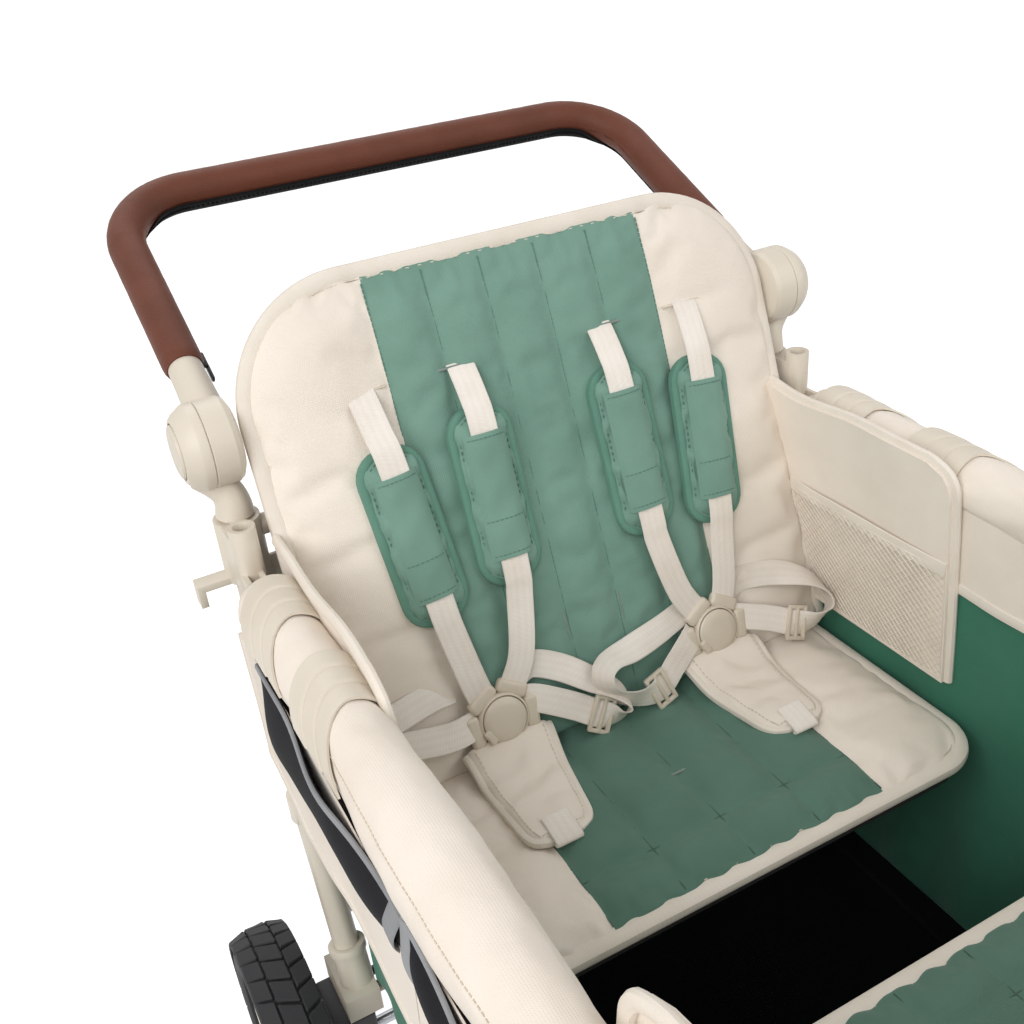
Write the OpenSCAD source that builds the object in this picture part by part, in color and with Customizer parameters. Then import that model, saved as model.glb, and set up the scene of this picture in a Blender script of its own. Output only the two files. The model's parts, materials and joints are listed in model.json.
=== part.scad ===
// Four-seat stroller wagon with two facing benches, push handle, pull handle and folding frame.
// +Z is up, +Y is the push-handle end, -Y the pull-handle end, millimetres.

/* [Overall] */
// Distance between the left and right corner posts, centre to centre
post_span = 540; // [500:1:620]
// Distance between the front and rear corner posts, centre to centre
post_gap = 800; // [740:1:900]
// Height of the top of the padded side rails
rail_top = 720; // [680:1:780]
// Height of the seat surface
seat_height = 498; // [460:1:540]
// Height of the floor's hinge line
floor_height = 214; // [210:1:250]

/* [Frame] */
// Diameter of the corner posts
post_d = 25; // [20:1:30]
// Height of the rear posts' tops above their brackets
post_rise = 17; // [13:1:40]
// Height at which the posts bend forward into the legs
leg_bend_z = 420; // [380:1:460]
// Distance that each leg leans in towards the middle
leg_lean = 55; // [30:1:70]
// Diameter of the cross tubes between the posts
cross_d = 18; // [14:1:24]
// Diameter of the rods that the floor boards turn on
floor_rod_d = 12; // [8:1:14]
// Diameter of the rod that each seat turns on
seat_rod_d = 10; // [8:1:14]

/* [Side rails] */
// Diameter of the rail tubes
rail_d = 24; // [18:1:26]
// Diameter of the padded rail cover
cover_d = 48; // [42:1:54]
// Distance of the rail pivots in front of the post axis
rail_pivot_back = 63; // [60:1:80]
// Width of one ribbed saddle along the rail
saddle_w = 57; // [40:1:70]
// Distance between the two saddles on a rail half
saddle_pitch = 113; // [75:1:130]

/* [Benches] */
// Length of the backrest along its slope
back_len = 437; // [380:1:480]
// Recline of the backrest from upright, degrees
recline = 19.4; // [10:0.1:25]
// Depth of the seat from the crease to its front edge
seat_depth = 206; // [180:1:220]
// Distance of the seat's sides inside the backrest's sides
seat_side_gap = 9; // [4:1:25]
// Thickness of the back and seat pads
pad_t = 26; // [18:1:34]
// Width of the quilted centre panel
panel_w = 260; // [200:1:320]
// Radius of the backrest's top corners
back_corner = 105; // [60:1:130]
// Thickness of the seat and back boards
board_t = 8; // [5:1:12]

/* [Harness] */
// Width of the harness webbing
web_w = 25; // [20:1:30]
// Width of a shoulder pad
shoulder_w = 58; // [45:1:65]
// Length of a shoulder pad
shoulder_len = 150; // [110:1:170]
// Diameter of a harness buckle
buckle_d = 40; // [34:1:48]
// Distance of the buckles from the middle of the bench
buckle_x = 112; // [105:1:120]

/* [Push handle] */
// Length of the handle's arms from the hubs to the bar
handle_len = 310; // [260:1:360]
// Angle of the handle above horizontal, degrees
handle_tilt = 24.8; // [15:0.1:35]
// Diameter of the handle tube
handle_d = 22; // [18:1:23]
// Diameter of the leather grip
grip_d = 34; // [28:1:40]
// Distance of the grip's ends from the hub axis
grip_start = 84; // [60:1:140]
// Radius of the handle's corners
handle_bend = 70; // [50:1:90]
// Diameter of the round hubs
hub_d = 70; // [62:1:74]

/* [Wheels] */
// Diameter of the rear wheels
rear_wheel_d = 280; // [240:1:300]
// Width of the rear wheels
rear_wheel_w = 58; // [45:1:70]
// Diameter of the front wheels at the plain floor height
front_wheel_d = 184; // [150:1:188]
// Width of the front wheels
front_wheel_w = 45; // [35:1:50]
// Distance of the rear axle behind the floor's rear hinge
axle_back = 18; // [8:1:28]
// Diameter of the wheel axles
axle_d = 12; // [10:1:14]
// Distance of the front wheels' axles behind their swivels
trail = 38; // [30:1:45]

/* [Hidden] */
$fn = 48;
// Running clearance of shafts, fit of fixed pieces, and clearance of loose ones
run_gap = 0.06;
fit_gap = 0.05;
loose_gap = 0.3;
// One overrun for all cuts
over = 1;

// Colours
frame_cream = "#ded4c4";
fabric_cream = "#ece2d5";
sage = "#7da091";
deep_green = "#3a7a5e";
black = "#26262a";
leather = "#6b3a2a";
steel = "#b9bcc0";
webbing = "#f0e6de";

// Posts and rails
post_x = post_span / 2;
post_y = post_gap / 2;
post_r = post_d / 2;
rail_out = 6;
rail_x = post_x + rail_out;
rail_r = rail_d / 2;
cover_r = cover_d / 2;
rail_z = rail_top - cover_r;
pivot_y = post_y - rail_pivot_back;
eye_r = 10.5;
eye_t = 8;
pin_d = 8;
pin_r = pin_d / 2;
eye_reach = 16;
hinge_reach = 26;
lug_t = 7.4;
lug_gap = 0.6;
cover_end = 19;
cover_mid = 0.5;
cover_bore_gap = 1.2;
cover_bore_r = sqrt(eye_r ^ 2 + (lug_gap / 2 + lug_t) ^ 2) + cover_bore_gap;
saddle_proud = 4;
saddle_from = 30;
saddle_arch_share = 0.3;
saddle_end = 6;
saddle_outer_y = pivot_y - cover_end - saddle_end - saddle_w;
saddle_places = [saddle_outer_y - saddle_pitch, saddle_outer_y];
rail_bar_share = 0.75;

// Top brackets with the canopy-pole sockets
bracket_wall = 6.5;
bracket_drop = 16;
bracket_r = post_r + bracket_wall;
bracket_z = rail_z - bracket_drop;
bracket_rise = 39;
bracket_top = rail_z + bracket_rise;
post_top = bracket_top + post_rise;
socket_out = 5;
socket_back = 25;
socket_rise = 49;
socket_sunk = 6;
socket_floor = 5;
socket_bore_d = 14;
socket_wall = 4;
socket_x = post_x + socket_out;
socket_y = pivot_y + socket_back;
socket_top = rail_z + socket_rise;
socket_z = rail_z - socket_sunk;
socket_r = socket_bore_d / 2 + socket_wall;
ear_t = 4;
hook_t = 6;
hook_reach = 26;
hook_w = 16;
hook_lip = 20;

// Hubs of the push handle
hub_r = hub_d / 2;
hub_back = 6;
hub_y = post_y + hub_back;
hub_seam_out = 11;
hub_seam = post_x + hub_seam_out;
hub_outer_t = 20;
hub_inner_t = 25.7;
hub_neck_gap = 1.5;
hub_neck_half = 13;
hub_neck_h = 11.5;
hub_z = post_top + hub_neck_h + hub_neck_gap + hub_r;
boss_r = 9;
boss_len = 22;
button_r = 22;
button_t = 8.5;
button_proud = 3;
button_travel = 3;
handle_x = hub_seam - loose_gap - hub_inner_t / 2;
handle_r = handle_d / 2;
grip_r = grip_d / 2;
tube_seat = 20;

// Legs, lower brackets and axles
bracket_in_wall = 2.5;
bracket_out_wall = 7.5;
bracket_in = post_r + bracket_in_wall;
bracket_out = post_r + bracket_out_wall;
lower_x = post_x - bracket_in;
lower_w = bracket_in + bracket_out;
lower_ahead = 17;
lower_behind = 15;
lower_rise = 18;
lower_front = pivot_y - lower_ahead;
lower_rear = post_y - lower_behind;
lower_top = floor_height + lower_rise;
lower_h = 30;
lower_z = lower_top - lower_h;
sleeve_wall = 4;
sleeve_len = 40;
ring_wall = 6;
ring_len = 8;
coupling_half = 14;
coupling_wall = 3;
leg_sink = 20;
leg_angle = atan2(leg_lean, leg_bend_z - lower_top);
leg_len = (leg_bend_z - lower_top) / cos(leg_angle) + leg_sink;
post_cap = 3;
box_in = 6;
box_out = 36;
box_drop = 28;
axle_r = axle_d / 2;
rear_axle_y = pivot_y + axle_back;
rear_axle_z = rear_wheel_d / 2;
wheel_gap = 6;
rear_wheel_x = post_x + box_out + wheel_gap;
axle_end = 2;

// Brake
brake_back = 41;
brake_rise = 26;
brake_y = rear_axle_y + brake_back;
brake_z = rear_axle_z + brake_rise;
brake_d = 10;
brake_r = brake_d / 2;
brake_lug_r = 11;
pedal_w = 92;
pedal_reach = 58;
pedal_t = 9;
cam_r = 13;
cam_t = 3.4;
cam_finger = 26;

// Floor boards
floor_side_gap = 11;
floor_w = 2 * (lower_x - floor_side_gap);
floor_t = 14;
floor_lift = 1;
knuckle_wall = 4;
knuckle_w = 60;
knuckle_gap = 2;
floor_edge = 12;
floor_pin_d = 7;
floor_knuckle_out = 160;
floor_knuckle_places = [-floor_knuckle_out, 0, floor_knuckle_out];
floor_mid_out = 168;
floor_mid_places = [-floor_mid_out, 0, floor_mid_out];
floor_mid_between = [-floor_mid_out / 2, floor_mid_out / 2];

// Places of the benches: the backrest's board leans on the upper cross tube's stays
lining_gap = 0.6;
lining_x = rail_x - cover_r + lining_gap;
back_side_gap = 1.6;
back_w = 2 * (lining_x - back_side_gap);
seat_w = back_w - 2 * seat_side_gap;
top_cross_drop = 14;
stay_len = 6;
stay_w = 20;
stay_half = 6;
top_cross_z = bracket_top - top_cross_drop;
back_depth = pad_t + loose_gap + board_t;
back_run = (top_cross_z + stay_half - seat_height) * tan(recline) + back_depth / cos(recline);
stay_y = post_y - cross_d / 2 - stay_len;
crease_y = stay_y - back_run;

// Seat and back supports
seat_pad_z = seat_height - pad_t;
seat_board_z = seat_pad_z - board_t - loose_gap;
arm_front = 10;
seat_rod_y = crease_y + arm_front + loose_gap;
seat_rod_z = seat_board_z + board_t / 2;
seat_knuckle_wall = 4;
seat_knuckle_r = seat_rod_d / 2 + seat_knuckle_wall;
seat_knuckle_out = 130;
seat_knuckle_places = [-seat_knuckle_out, 0, seat_knuckle_out];
seat_knuckle_w = 70;
seat_board_in = 6;
seat_board_gap = 14;
arm_in = 27;
arm_x = seat_w / 2 - arm_in;
arm_t = 14;
arm_h = 16;
back_board_in = 16;
back_board_low = (seat_rod_z + arm_h / 2 + fit_gap - seat_height + back_depth * sin(recline)) / cos(recline);

// Pads
pad_edge_share = 0.45;
pad_rows = 8;
back_channels = 5;
seat_channels = 4;
channel_rise_share = 0.22;
seat_corner = 45;
shoulder_t = 13;
crotch_w = 56;
crotch_len = 105;
crotch_t = 12;
crotch_back = 3;
pad_corner_share = 0.33;
plain_columns = 3;
fold_steps = 10;

// Harness places on the backrest, across and up its slope
slot_up = 339;
outer_slot_x = 157;
inner_slot_x = 67;
web_t = 2;
web_sink = 0.4;
web_face = web_t - web_sink + fit_gap;
buckle_up = 40;
buckle_t = 14;
buckle_button_d = 30;
buckle_button_t = 5;
buckle_button_travel = 2;
buckle_meet = 13;
web_low_share = 0.4;
web_low = buckle_up + buckle_d * web_low_share;
outer_foot_x = 140;
outer_foot_up = 140;
inner_foot_x = 69;
inner_foot_up = 152;
outer_foot = [outer_foot_x, outer_foot_up];
inner_foot = [inner_foot_x, inner_foot_up];
outer_slot = [outer_slot_x, slot_up];
inner_slot = [inner_slot_x, slot_up];
waist_up = 40;
waist_in = 34;
waist_edge = 25;
waist_out = back_w / 2 - waist_edge;
adjuster_w = 34;
adjuster_h = 20;
adjuster_t = 5;

// Cloth
wing_t = 5;
wing_gap = 4.5;
wing_x = back_w / 2 - wing_gap;
wing_low_reach = 146;
wing_high_reach = 134;
wing_low = 18;
wing_high = 4;
wing_back_gap = 1.2;
cloth_t = 2.4;
fold_depth = 3;
lining_foot_gap = 2;
lining_over = 10;
lining_in = cover_r - lining_gap - fold_depth - cloth_t;
lining_top = rail_z - sqrt((cover_r + loose_gap) ^ 2 - lining_in ^ 2);
lining_low = lower_top + lining_foot_gap;
lining_end = lower_front + lining_over;
skirt_x = rail_x + cover_r + lining_gap;
skirt_drop = 1;
skirt_top = rail_z - skirt_drop;
skirt_low = 560;
skirt_end_gap = 88;
skirt_end = post_y - skirt_end_gap;
cloth_mid = 1;
lining_folds = 4;
skirt_folds = 2;
end_panel_t = 4;
end_panel_out = 15;
end_panel_w = 2 * (post_x + end_panel_out);
end_panel_low = 240;
end_panel_corner = 30;
end_panel_y = post_y + post_r + coupling_wall + loose_gap;
rear_pocket_w = 380;
rear_pocket_h = 230;
rear_pocket_z = 380;
rear_pocket_t = 24;

// Front swivels and pull handle
caster_side = 36;
caster_ahead = 28;
caster_rise = 30;
caster_x = post_x + caster_side;
caster_y = post_y - caster_ahead;
crown_top = lower_z;
caster_top = lower_top + caster_rise;
stem_d = 16;
stem_r = stem_d / 2;
caster_r = 16;
caster_out = 26;
crown_gap = 1;
crown_t = 11;
crown_r = 27;
fork_gap = 2.5;
fork_t = 6;
fork_boss_r = 13;
fork_width = 36;
front_axle_r = 5;
pull_rise = 8;
pull_cross_in = 16;
pull_z = floor_height + pull_rise;
pull_cross_y = post_y - pull_cross_in;
pull_lug_t = 6;
pull_eye_w = 36;
pull_eye_r = 10;
pull_lean = 1.5;
pull_d = 18;
pull_len = 420;
loop_r = 28;
loop_w = 70;
loop_d = 20;
pull_top = pull_len + 2 * loop_r;
pull_y = end_panel_y + end_panel_t + loose_gap + loop_d / 2 + pull_top * sin(pull_lean);

// Wheels
tyre_share = 0.26;
tyre_round_share = 0.47;
rim_t = 7;
rim_inset = 6;
wheel_hub_d = 46;
spoke_w = 17;
spoke_t_share = 0.35;
spokes = 6;
tyre_seat = 0.3;
// The front wheels grow and shrink with the room below the floor
plain_floor_height = 214;
front_d = front_wheel_d * floor_height / plain_floor_height;

// The part's origin lies under the middle of its whole length
handle_reach = hub_y + handle_len * cos(handle_tilt) + grip_r;
front_reach = pull_y + pull_eye_r;
mid_y = (handle_reach - front_reach) / 2;

// Placing helpers

module rear_end() {
    translate([0, -mid_y, 0]) children();
}

module front_end() {
    translate([0, -mid_y, 0]) mirror([0, 1, 0]) children();
}

module right_side() {
    children();
}

module left_side() {
    mirror([1, 0, 0]) children();
}

module both_sides() {
    children();
    mirror([1, 0, 0]) children();
}

// A frame on the backrest: x across, z up the slope, -y out of the front face
module on_back() {
    translate([0, crease_y, seat_height]) rotate([-recline, 0, 0]) children();
}

module bar_x(r, x_from, x_to, y, z) {
    translate([x_from, y, z]) rotate([0, 90, 0]) cylinder(r = r, h = x_to - x_from);
}

module box(x_from, x_to, y_from, y_to, z_from, z_to) {
    translate([x_from, y_from, z_from]) cube([x_to - x_from, y_to - y_from, z_to - z_from]);
}

// Soft forms

// Half width of a pad at a distance along it, drawn in round its far corners
function pad_half(w, len, corner, v) =
    v < len - corner ? w / 2 : w / 2 - corner + sqrt(max(0, corner ^ 2 - (v - len + corner) ^ 2));

// Height of a pad's quilted face over its base
function pad_height(t, u, x, s, pitch, lines, phase) =
    let (edge = t * pad_edge_share)
    let (swell = (t - edge) * (1 - u ^ 4) * (1 - (2 * s - 1) ^ 6))
    let (sewn = abs(x) < pitch * lines / 2 ? abs(cos(180 * x / pitch + phase)) : 0)
    edge + swell * (1 - channel_rise_share + channel_rise_share * sewn);

// Places across a pad: its edges, and one at each sewn line and each channel's middle
function pad_columns(half, pitch, lines) =
    let (panel = pitch * lines / 2)
    lines == 0
        ? [for (i = [-plain_columns : plain_columns]) half * i / plain_columns]
        : concat(
            [-half, -(half + panel) / 2],
            [for (i = [-lines : lines]) i * pitch / 2],
            [(half + panel) / 2, half]
        );

// A closed pad with its base on z = 0, crowned, thin at its edges and sewn in channels
module quilt(w, long, t, pitch, lines, phase, corner, rows) {
    grid = [
        for (j = [0 : rows])
            let (v = long * sin(90 * j / rows))
            [for (x = pad_columns(pad_half(w, long, corner, v), pitch, lines)) [x, v]]
    ];
    across = len(grid[0]) - 1;
    loop = concat(
        [for (i = [0 : across]) [i, 0]],
        [for (j = [1 : rows]) [across, j]],
        [for (i = [across - 1 : -1 : 0]) [i, rows]],
        [for (j = [rows - 1 : -1 : 1]) [0, j]]
    );
    count = len(loop);
    function cell(i, j) = j * (across + 1) + i;
    function at(k) = cell(loop[k % count][0], loop[k % count][1]);
    function under(k) = (across + 1) * (rows + 1) + k % count;
    top = [
        for (row = grid) for (p = row)
            [p[0], p[1], pad_height(t, p[0] / row[across][0], p[0], p[1] / long, pitch, lines, phase)]
    ];
    low = [for (k = loop) [grid[k[1]][k[0]][0], grid[k[1]][k[0]][1], 0]];
    centre = len(top) + count;
    cells = [for (j = [0 : rows - 1]) for (i = [0 : across - 1]) [i, j]];
    polyhedron(
        points = concat(top, low, [[0, long / 2, 0]]),
        faces = concat(
            [for (c = cells) [cell(c[0], c[1]), cell(c[0], c[1] + 1), cell(c[0] + 1, c[1] + 1)]],
            [for (c = cells) [cell(c[0], c[1]), cell(c[0] + 1, c[1] + 1), cell(c[0] + 1, c[1])]],
            [for (k = [0 : count - 1]) [at(k), at(k + 1), under(k + 1)]],
            [for (k = [0 : count - 1]) [at(k), under(k + 1), under(k)]],
            [for (k = [0 : count - 1]) [centre, under(k), under(k + 1)]]
        )
    );
}

// A hanging sheet along +y with upright folds that swing to +x
module folded_sheet(x, y_from, y_to, z_from, z_to, t, depth, folds) {
    steps = fold_steps * folds;
    rings = [
        for (i = [0 : steps])
            let (y = y_from + (y_to - y_from) * i / steps)
            let (out = x + depth * (1 - cos(360 * folds * i / steps)) / 2)
            [[out, y, z_from], [out, y, z_to], [out + t, y, z_to], [out + t, y, z_from]]
    ];
    corners = len(rings[0]);
    function ring_at(i, k) = corners * i + k % corners;
    polyhedron(
        points = [for (r = rings) for (p = r) p],
        faces = concat(
            [for (i = [0 : steps - 1]) for (k = [0 : corners - 1])
                [ring_at(i, k), ring_at(i + 1, k), ring_at(i + 1, k + 1), ring_at(i, k + 1)]],
            [[for (k = [0 : corners - 1]) ring_at(0, k)]],
            [[for (k = [corners - 1 : -1 : 0]) ring_at(steps, k)]]
        )
    );
}

// Frame

// A frame that starts at the bend of a post and runs down its leg
module on_leg() {
    translate([post_x, post_y, leg_bend_z]) rotate([180 - leg_angle, 0, 0]) children();
}

// An upright tube and a leaning leg, joined in a short coupling
module bent_post(top) {
    translate([post_x, post_y, leg_bend_z]) cylinder(r = post_r, h = top - leg_bend_z);
    translate([post_x, post_y, leg_bend_z - coupling_half])
        cylinder(r = post_r + coupling_wall, h = 2 * coupling_half);
    on_leg() cylinder(r = post_r, h = leg_len);
}

module end_frame(top) {
    both_sides() bent_post(top);
    reach = post_x - post_r - fit_gap;
    bar_x(cross_d / 2, -reach, reach, post_y, seat_rod_z);
    bar_x(cross_d / 2, -reach, reach, post_y, top_cross_z);
    bar_x(floor_rod_d / 2, -(lower_x - fit_gap), lower_x - fit_gap, pivot_y, floor_height);
    bar_x(seat_rod_d / 2, -arm_x, arm_x, seat_rod_y, seat_rod_z);
    both_sides() box(arm_x - arm_t / 2, arm_x + arm_t / 2, seat_rod_y - arm_front, post_y,
        seat_rod_z - arm_h / 2, seat_rod_z + arm_h / 2);
    both_sides() box(arm_x - stay_w / 2, arm_x + stay_w / 2, stay_y + fit_gap, post_y,
        top_cross_z - stay_half, top_cross_z + stay_half);
}

module rear_frame() {
    color(frame_cream) rear_end() end_frame(post_top);
}

module pull_lugs() {
    bar_x(cross_d / 2, -(lower_x - fit_gap), lower_x - fit_gap, pull_cross_y, pull_z);
    both_sides() translate([pull_eye_w / 2 + loose_gap, 0, 0]) {
        box(0, pull_lug_t, pull_cross_y, pull_y, pull_z - pull_eye_r, pull_z + pull_eye_r);
        bar_x(pull_eye_r, 0, pull_lug_t, pull_y, pull_z);
    }
    bar_x(pin_r, -pull_eye_w / 2 - pull_lug_t, pull_eye_w / 2 + pull_lug_t, pull_y, pull_z);
}

module front_frame() {
    color(frame_cream) front_end() {
        end_frame(bracket_top + post_cap);
        pull_lugs();
    }
}

module top_bracket() {
    difference() {
        union() {
            translate([post_x, post_y, bracket_z]) cylinder(r = bracket_r, h = bracket_top - bracket_z);
            translate([socket_x, socket_y, socket_z]) cylinder(r = socket_r, h = socket_top - socket_z);
            box(socket_x - socket_r, socket_x + socket_r, socket_y, post_y, socket_z, bracket_top);
            for (side = [-1, 1]) translate([rail_x + side * (eye_t + ear_t + 2 * loose_gap) / 2, 0, 0]) {
                box(-ear_t / 2, ear_t / 2, pivot_y, socket_y, rail_z - eye_r, rail_z + eye_r);
                bar_x(eye_r, -ear_t / 2, ear_t / 2, pivot_y, rail_z);
            }
            bar_x(pin_r, rail_x - eye_t / 2 - ear_t, rail_x + eye_t / 2 + ear_t, pivot_y, rail_z);
            box(post_x + post_r, post_x + bracket_r + hook_reach, post_y - hook_w / 2, post_y + hook_w / 2,
                bracket_z, bracket_z + hook_t);
            box(post_x + bracket_r + hook_reach - hook_t, post_x + bracket_r + hook_reach,
                post_y - hook_w / 2, post_y + hook_w / 2, bracket_z + hook_t - hook_lip, bracket_z + hook_t);
        }
        translate([post_x, post_y, bracket_z - over])
            cylinder(r = post_r + fit_gap, h = bracket_top - bracket_z + 2 * over);
        translate([socket_x, socket_y, socket_z + socket_floor])
            cylinder(d = socket_bore_d, h = socket_top - socket_z);
        bar_x(cross_d / 2 + fit_gap, 0, post_x, post_y, top_cross_z);
    }
}

module rear_top_brackets() {
    color(frame_cream) rear_end() both_sides() top_bracket();
}

module front_top_brackets() {
    color(frame_cream) front_end() both_sides() top_bracket();
}

// The block at the foot of a leg, with a sleeve and ring up the leg
module lower_bracket() {
    difference() {
        union() {
            box(lower_x, lower_x + lower_w, lower_front, lower_rear, lower_z, lower_top);
            on_leg() {
                translate([0, 0, leg_len - leg_sink - sleeve_len]) {
                    cylinder(r = post_r + sleeve_wall, h = sleeve_len + leg_sink / 2);
                    cylinder(r = post_r + ring_wall, h = ring_len);
                }
            }
        }
        on_leg() cylinder(r = post_r + fit_gap, h = leg_len + fit_gap);
    }
}

module rear_lower_brackets() {
    color(frame_cream) rear_end() both_sides() lower_bracket();
}

module front_lower_brackets() {
    color(frame_cream) front_end() both_sides() difference() {
        union() {
            lower_bracket();
            box(lower_x + lower_w - over, caster_x, caster_y - caster_r, caster_y + caster_r,
                crown_top, lower_top);
            translate([caster_x, caster_y, crown_top]) cylinder(r = caster_r, h = caster_top - crown_top);
        }
        translate([caster_x, caster_y, crown_top - over])
            cylinder(r = stem_r + run_gap, h = caster_top - crown_top);
    }
}

module rear_axle_boxes() {
    color(black) rear_end() both_sides() difference() {
        union() {
            box(post_x - box_in, post_x + box_out, lower_front, lower_rear,
                rear_axle_z - box_drop, lower_z - fit_gap);
            bar_x(brake_lug_r, post_x - box_in, post_x + box_out, brake_y, brake_z);
            box(post_x - box_in, post_x + box_out, lower_rear - over, brake_y,
                brake_z - brake_lug_r, brake_z + brake_lug_r);
        }
        bar_x(axle_r + fit_gap, 0, 2 * post_x, rear_axle_y, rear_axle_z);
        bar_x(brake_r + run_gap, 0, 2 * post_x, brake_y, brake_z);
    }
}

module rear_axle() {
    half = rear_wheel_x + rear_wheel_w - axle_end;
    color(steel) rear_end() bar_x(axle_r, -half, half, rear_axle_y, rear_axle_z);
}

// Push handle

module hub_housing() {
    neck_top = hub_z - hub_r - hub_neck_gap;
    outer = hub_seam + hub_outer_t;
    difference() {
        union() {
            bar_x(hub_r, hub_seam, outer, hub_y, hub_z);
            bar_x(boss_r, hub_seam - boss_len, outer - button_t, hub_y, hub_z);
            box(hub_seam, outer, hub_y - hub_neck_half, hub_y + hub_neck_half, post_top + fit_gap, hub_z);
            box(post_x, outer, hub_y - hub_neck_half, hub_y + hub_neck_half, post_top + fit_gap, neck_top);
            translate([post_x, post_y, post_top + fit_gap])
                cylinder(r = post_r, h = neck_top - post_top - fit_gap);
        }
        bar_x(button_r + loose_gap, outer - button_t - fit_gap, outer + over, hub_y, hub_z);
    }
}

module hub_housings() {
    color(frame_cream) rear_end() both_sides() hub_housing();
}

module hub_button() {
    outer = hub_seam + hub_outer_t;
    bar_x(button_r, outer - button_t + button_travel, outer + button_proud, hub_y, hub_z);
}

module hub_button_left() {
    color(frame_cream) rear_end() left_side() hub_button();
}

module hub_button_right() {
    color(frame_cream) rear_end() right_side() hub_button();
}

// The handle's own frame: y along the arms, x across
module on_handle() {
    translate([0, hub_y, hub_z]) rotate([handle_tilt, 0, 0]) children();
}

// Runs a round section along both arms, the corners and the bar
module handle_sweep(from) {
    straight = handle_len - handle_bend;
    both_sides() {
        translate([handle_x, from, 0]) rotate([-90, 0, 0]) linear_extrude(straight - from) children();
        translate([handle_x - handle_bend, straight, 0]) rotate_extrude(angle = 90)
            translate([handle_bend, 0]) children();
    }
    translate([-(handle_x - handle_bend), handle_len, 0]) rotate([90, 0, 90])
        linear_extrude(2 * (handle_x - handle_bend)) children();
}

module handle_tube() {
    color(frame_cream) rear_end() on_handle() handle_sweep(tube_seat) circle(r = handle_r);
}

module handle_grip() {
    color(leather) rear_end() on_handle() handle_sweep(grip_start) difference() {
        circle(r = grip_r);
        circle(r = handle_r + fit_gap);
    }
}

module handle_hubs() {
    color(frame_cream) rear_end() both_sides() difference() {
        bar_x(hub_r, hub_seam - loose_gap - hub_inner_t, hub_seam - loose_gap, hub_y, hub_z);
        bar_x(boss_r + run_gap, hub_seam - boss_len - over, hub_seam, hub_y, hub_z);
        on_handle() translate([handle_x, tube_seat - fit_gap, 0]) rotate([-90, 0, 0])
            cylinder(r = handle_r + fit_gap, h = hub_d);
    }
}

// Wheels

// Section of a tyre, with its inner edge on x = r_in
module tyre_section(r_in, r_out, w) {
    round = (r_out - r_in) * tyre_round_share;
    translate([r_in, -w / 2]) square([r_out - r_in - round, w]);
    translate([r_in, -w / 2 + round]) square([r_out - r_in, w - 2 * round]);
    for (side = [-1, 1]) translate([r_out - round, side * (w / 2 - round)]) circle(r = round);
}

// Wheels are drawn about the x axis, centred on x = 0
module tyre(d, w) {
    rotate([0, 90, 0]) rotate_extrude() tyre_section(d / 2 * (1 - tyre_share), d / 2, w);
}

module rim(d, w, bore_r) {
    r = d / 2 * (1 - tyre_share) - tyre_seat;
    difference() {
        union() {
            rotate([0, 90, 0]) difference() {
                cylinder(r = r, h = w - 2 * rim_inset, center = true);
                cylinder(r = r - rim_t, h = w, center = true);
            }
            for (k = [0 : spokes - 1]) rotate([360 * k / spokes, 0, 0])
                translate([-w * spoke_t_share / 2, -spoke_w / 2, 0])
                    cube([w * spoke_t_share, spoke_w, r - rim_t / 2]);
            rotate([0, 90, 0]) cylinder(d = wheel_hub_d, h = w, center = true);
        }
        rotate([0, 90, 0]) cylinder(r = bore_r, h = w + 2 * over, center = true);
    }
}

module at_rear_wheel() {
    translate([rear_wheel_x + rear_wheel_w / 2, rear_axle_y, rear_axle_z]) children();
}

module rear_tyre_left() {
    color(black) rear_end() left_side() at_rear_wheel() tyre(rear_wheel_d, rear_wheel_w);
}

module rear_rim_left() {
    color(fabric_cream) rear_end() left_side() at_rear_wheel()
        rim(rear_wheel_d, rear_wheel_w, axle_r + run_gap);
}

module rear_tyre_right() {
    color(black) rear_end() right_side() at_rear_wheel() tyre(rear_wheel_d, rear_wheel_w);
}

module rear_rim_right() {
    color(fabric_cream) rear_end() right_side() at_rear_wheel()
        rim(rear_wheel_d, rear_wheel_w, axle_r + run_gap);
}

module brake_pedal() {
    cam_x = post_x + box_out + loose_gap;
    color(black) rear_end() {
        bar_x(brake_r, -(cam_x + cam_t), cam_x + cam_t, brake_y, brake_z);
        box(-pedal_w / 2, pedal_w / 2, brake_y, brake_y + pedal_reach,
            brake_z - pedal_t / 2, brake_z + pedal_t / 2);
        bar_x(pedal_t, -pedal_w / 2, pedal_w / 2, brake_y, brake_z);
        both_sides() {
            bar_x(cam_r, cam_x, cam_x + cam_t, brake_y, brake_z);
            box(cam_x, cam_x + cam_t, brake_y - brake_r, brake_y + brake_r, brake_z, brake_z + cam_finger);
        }
    }
}

// Front swivels

module at_caster() {
    translate([caster_x, caster_y, 0]) children();
}

module fork() {
    axle_z = front_d / 2;
    low = crown_top - crown_gap - crown_t;
    inner = front_wheel_w / 2 + fork_gap;
    at_caster() {
        translate([0, 0, low]) cylinder(r = stem_r, h = caster_top - low - 2 * crown_gap - crown_t);
        translate([0, 0, low]) cylinder(r = crown_r, h = crown_t);
        box(-inner - fork_t, inner + fork_t, -fork_width / 2, fork_width / 2, low, low + crown_t);
        for (side = [-1, 1]) translate([side * (inner + fork_t / 2), 0, 0]) {
            rotate([90, 0, 90]) linear_extrude(fork_t, center = true) polygon([
                [-fork_width / 2, low + crown_t],
                [fork_width / 2, low + crown_t],
                [-trail + fork_boss_r, axle_z],
                [-trail - fork_boss_r, axle_z]
            ]);
            bar_x(fork_boss_r, -fork_t / 2, fork_t / 2, -trail, axle_z);
        }
        bar_x(front_axle_r, -inner - fork_t, inner + fork_t, -trail, axle_z);
    }
}

module caster_fork_left() {
    color(frame_cream) front_end() left_side() fork();
}

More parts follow.
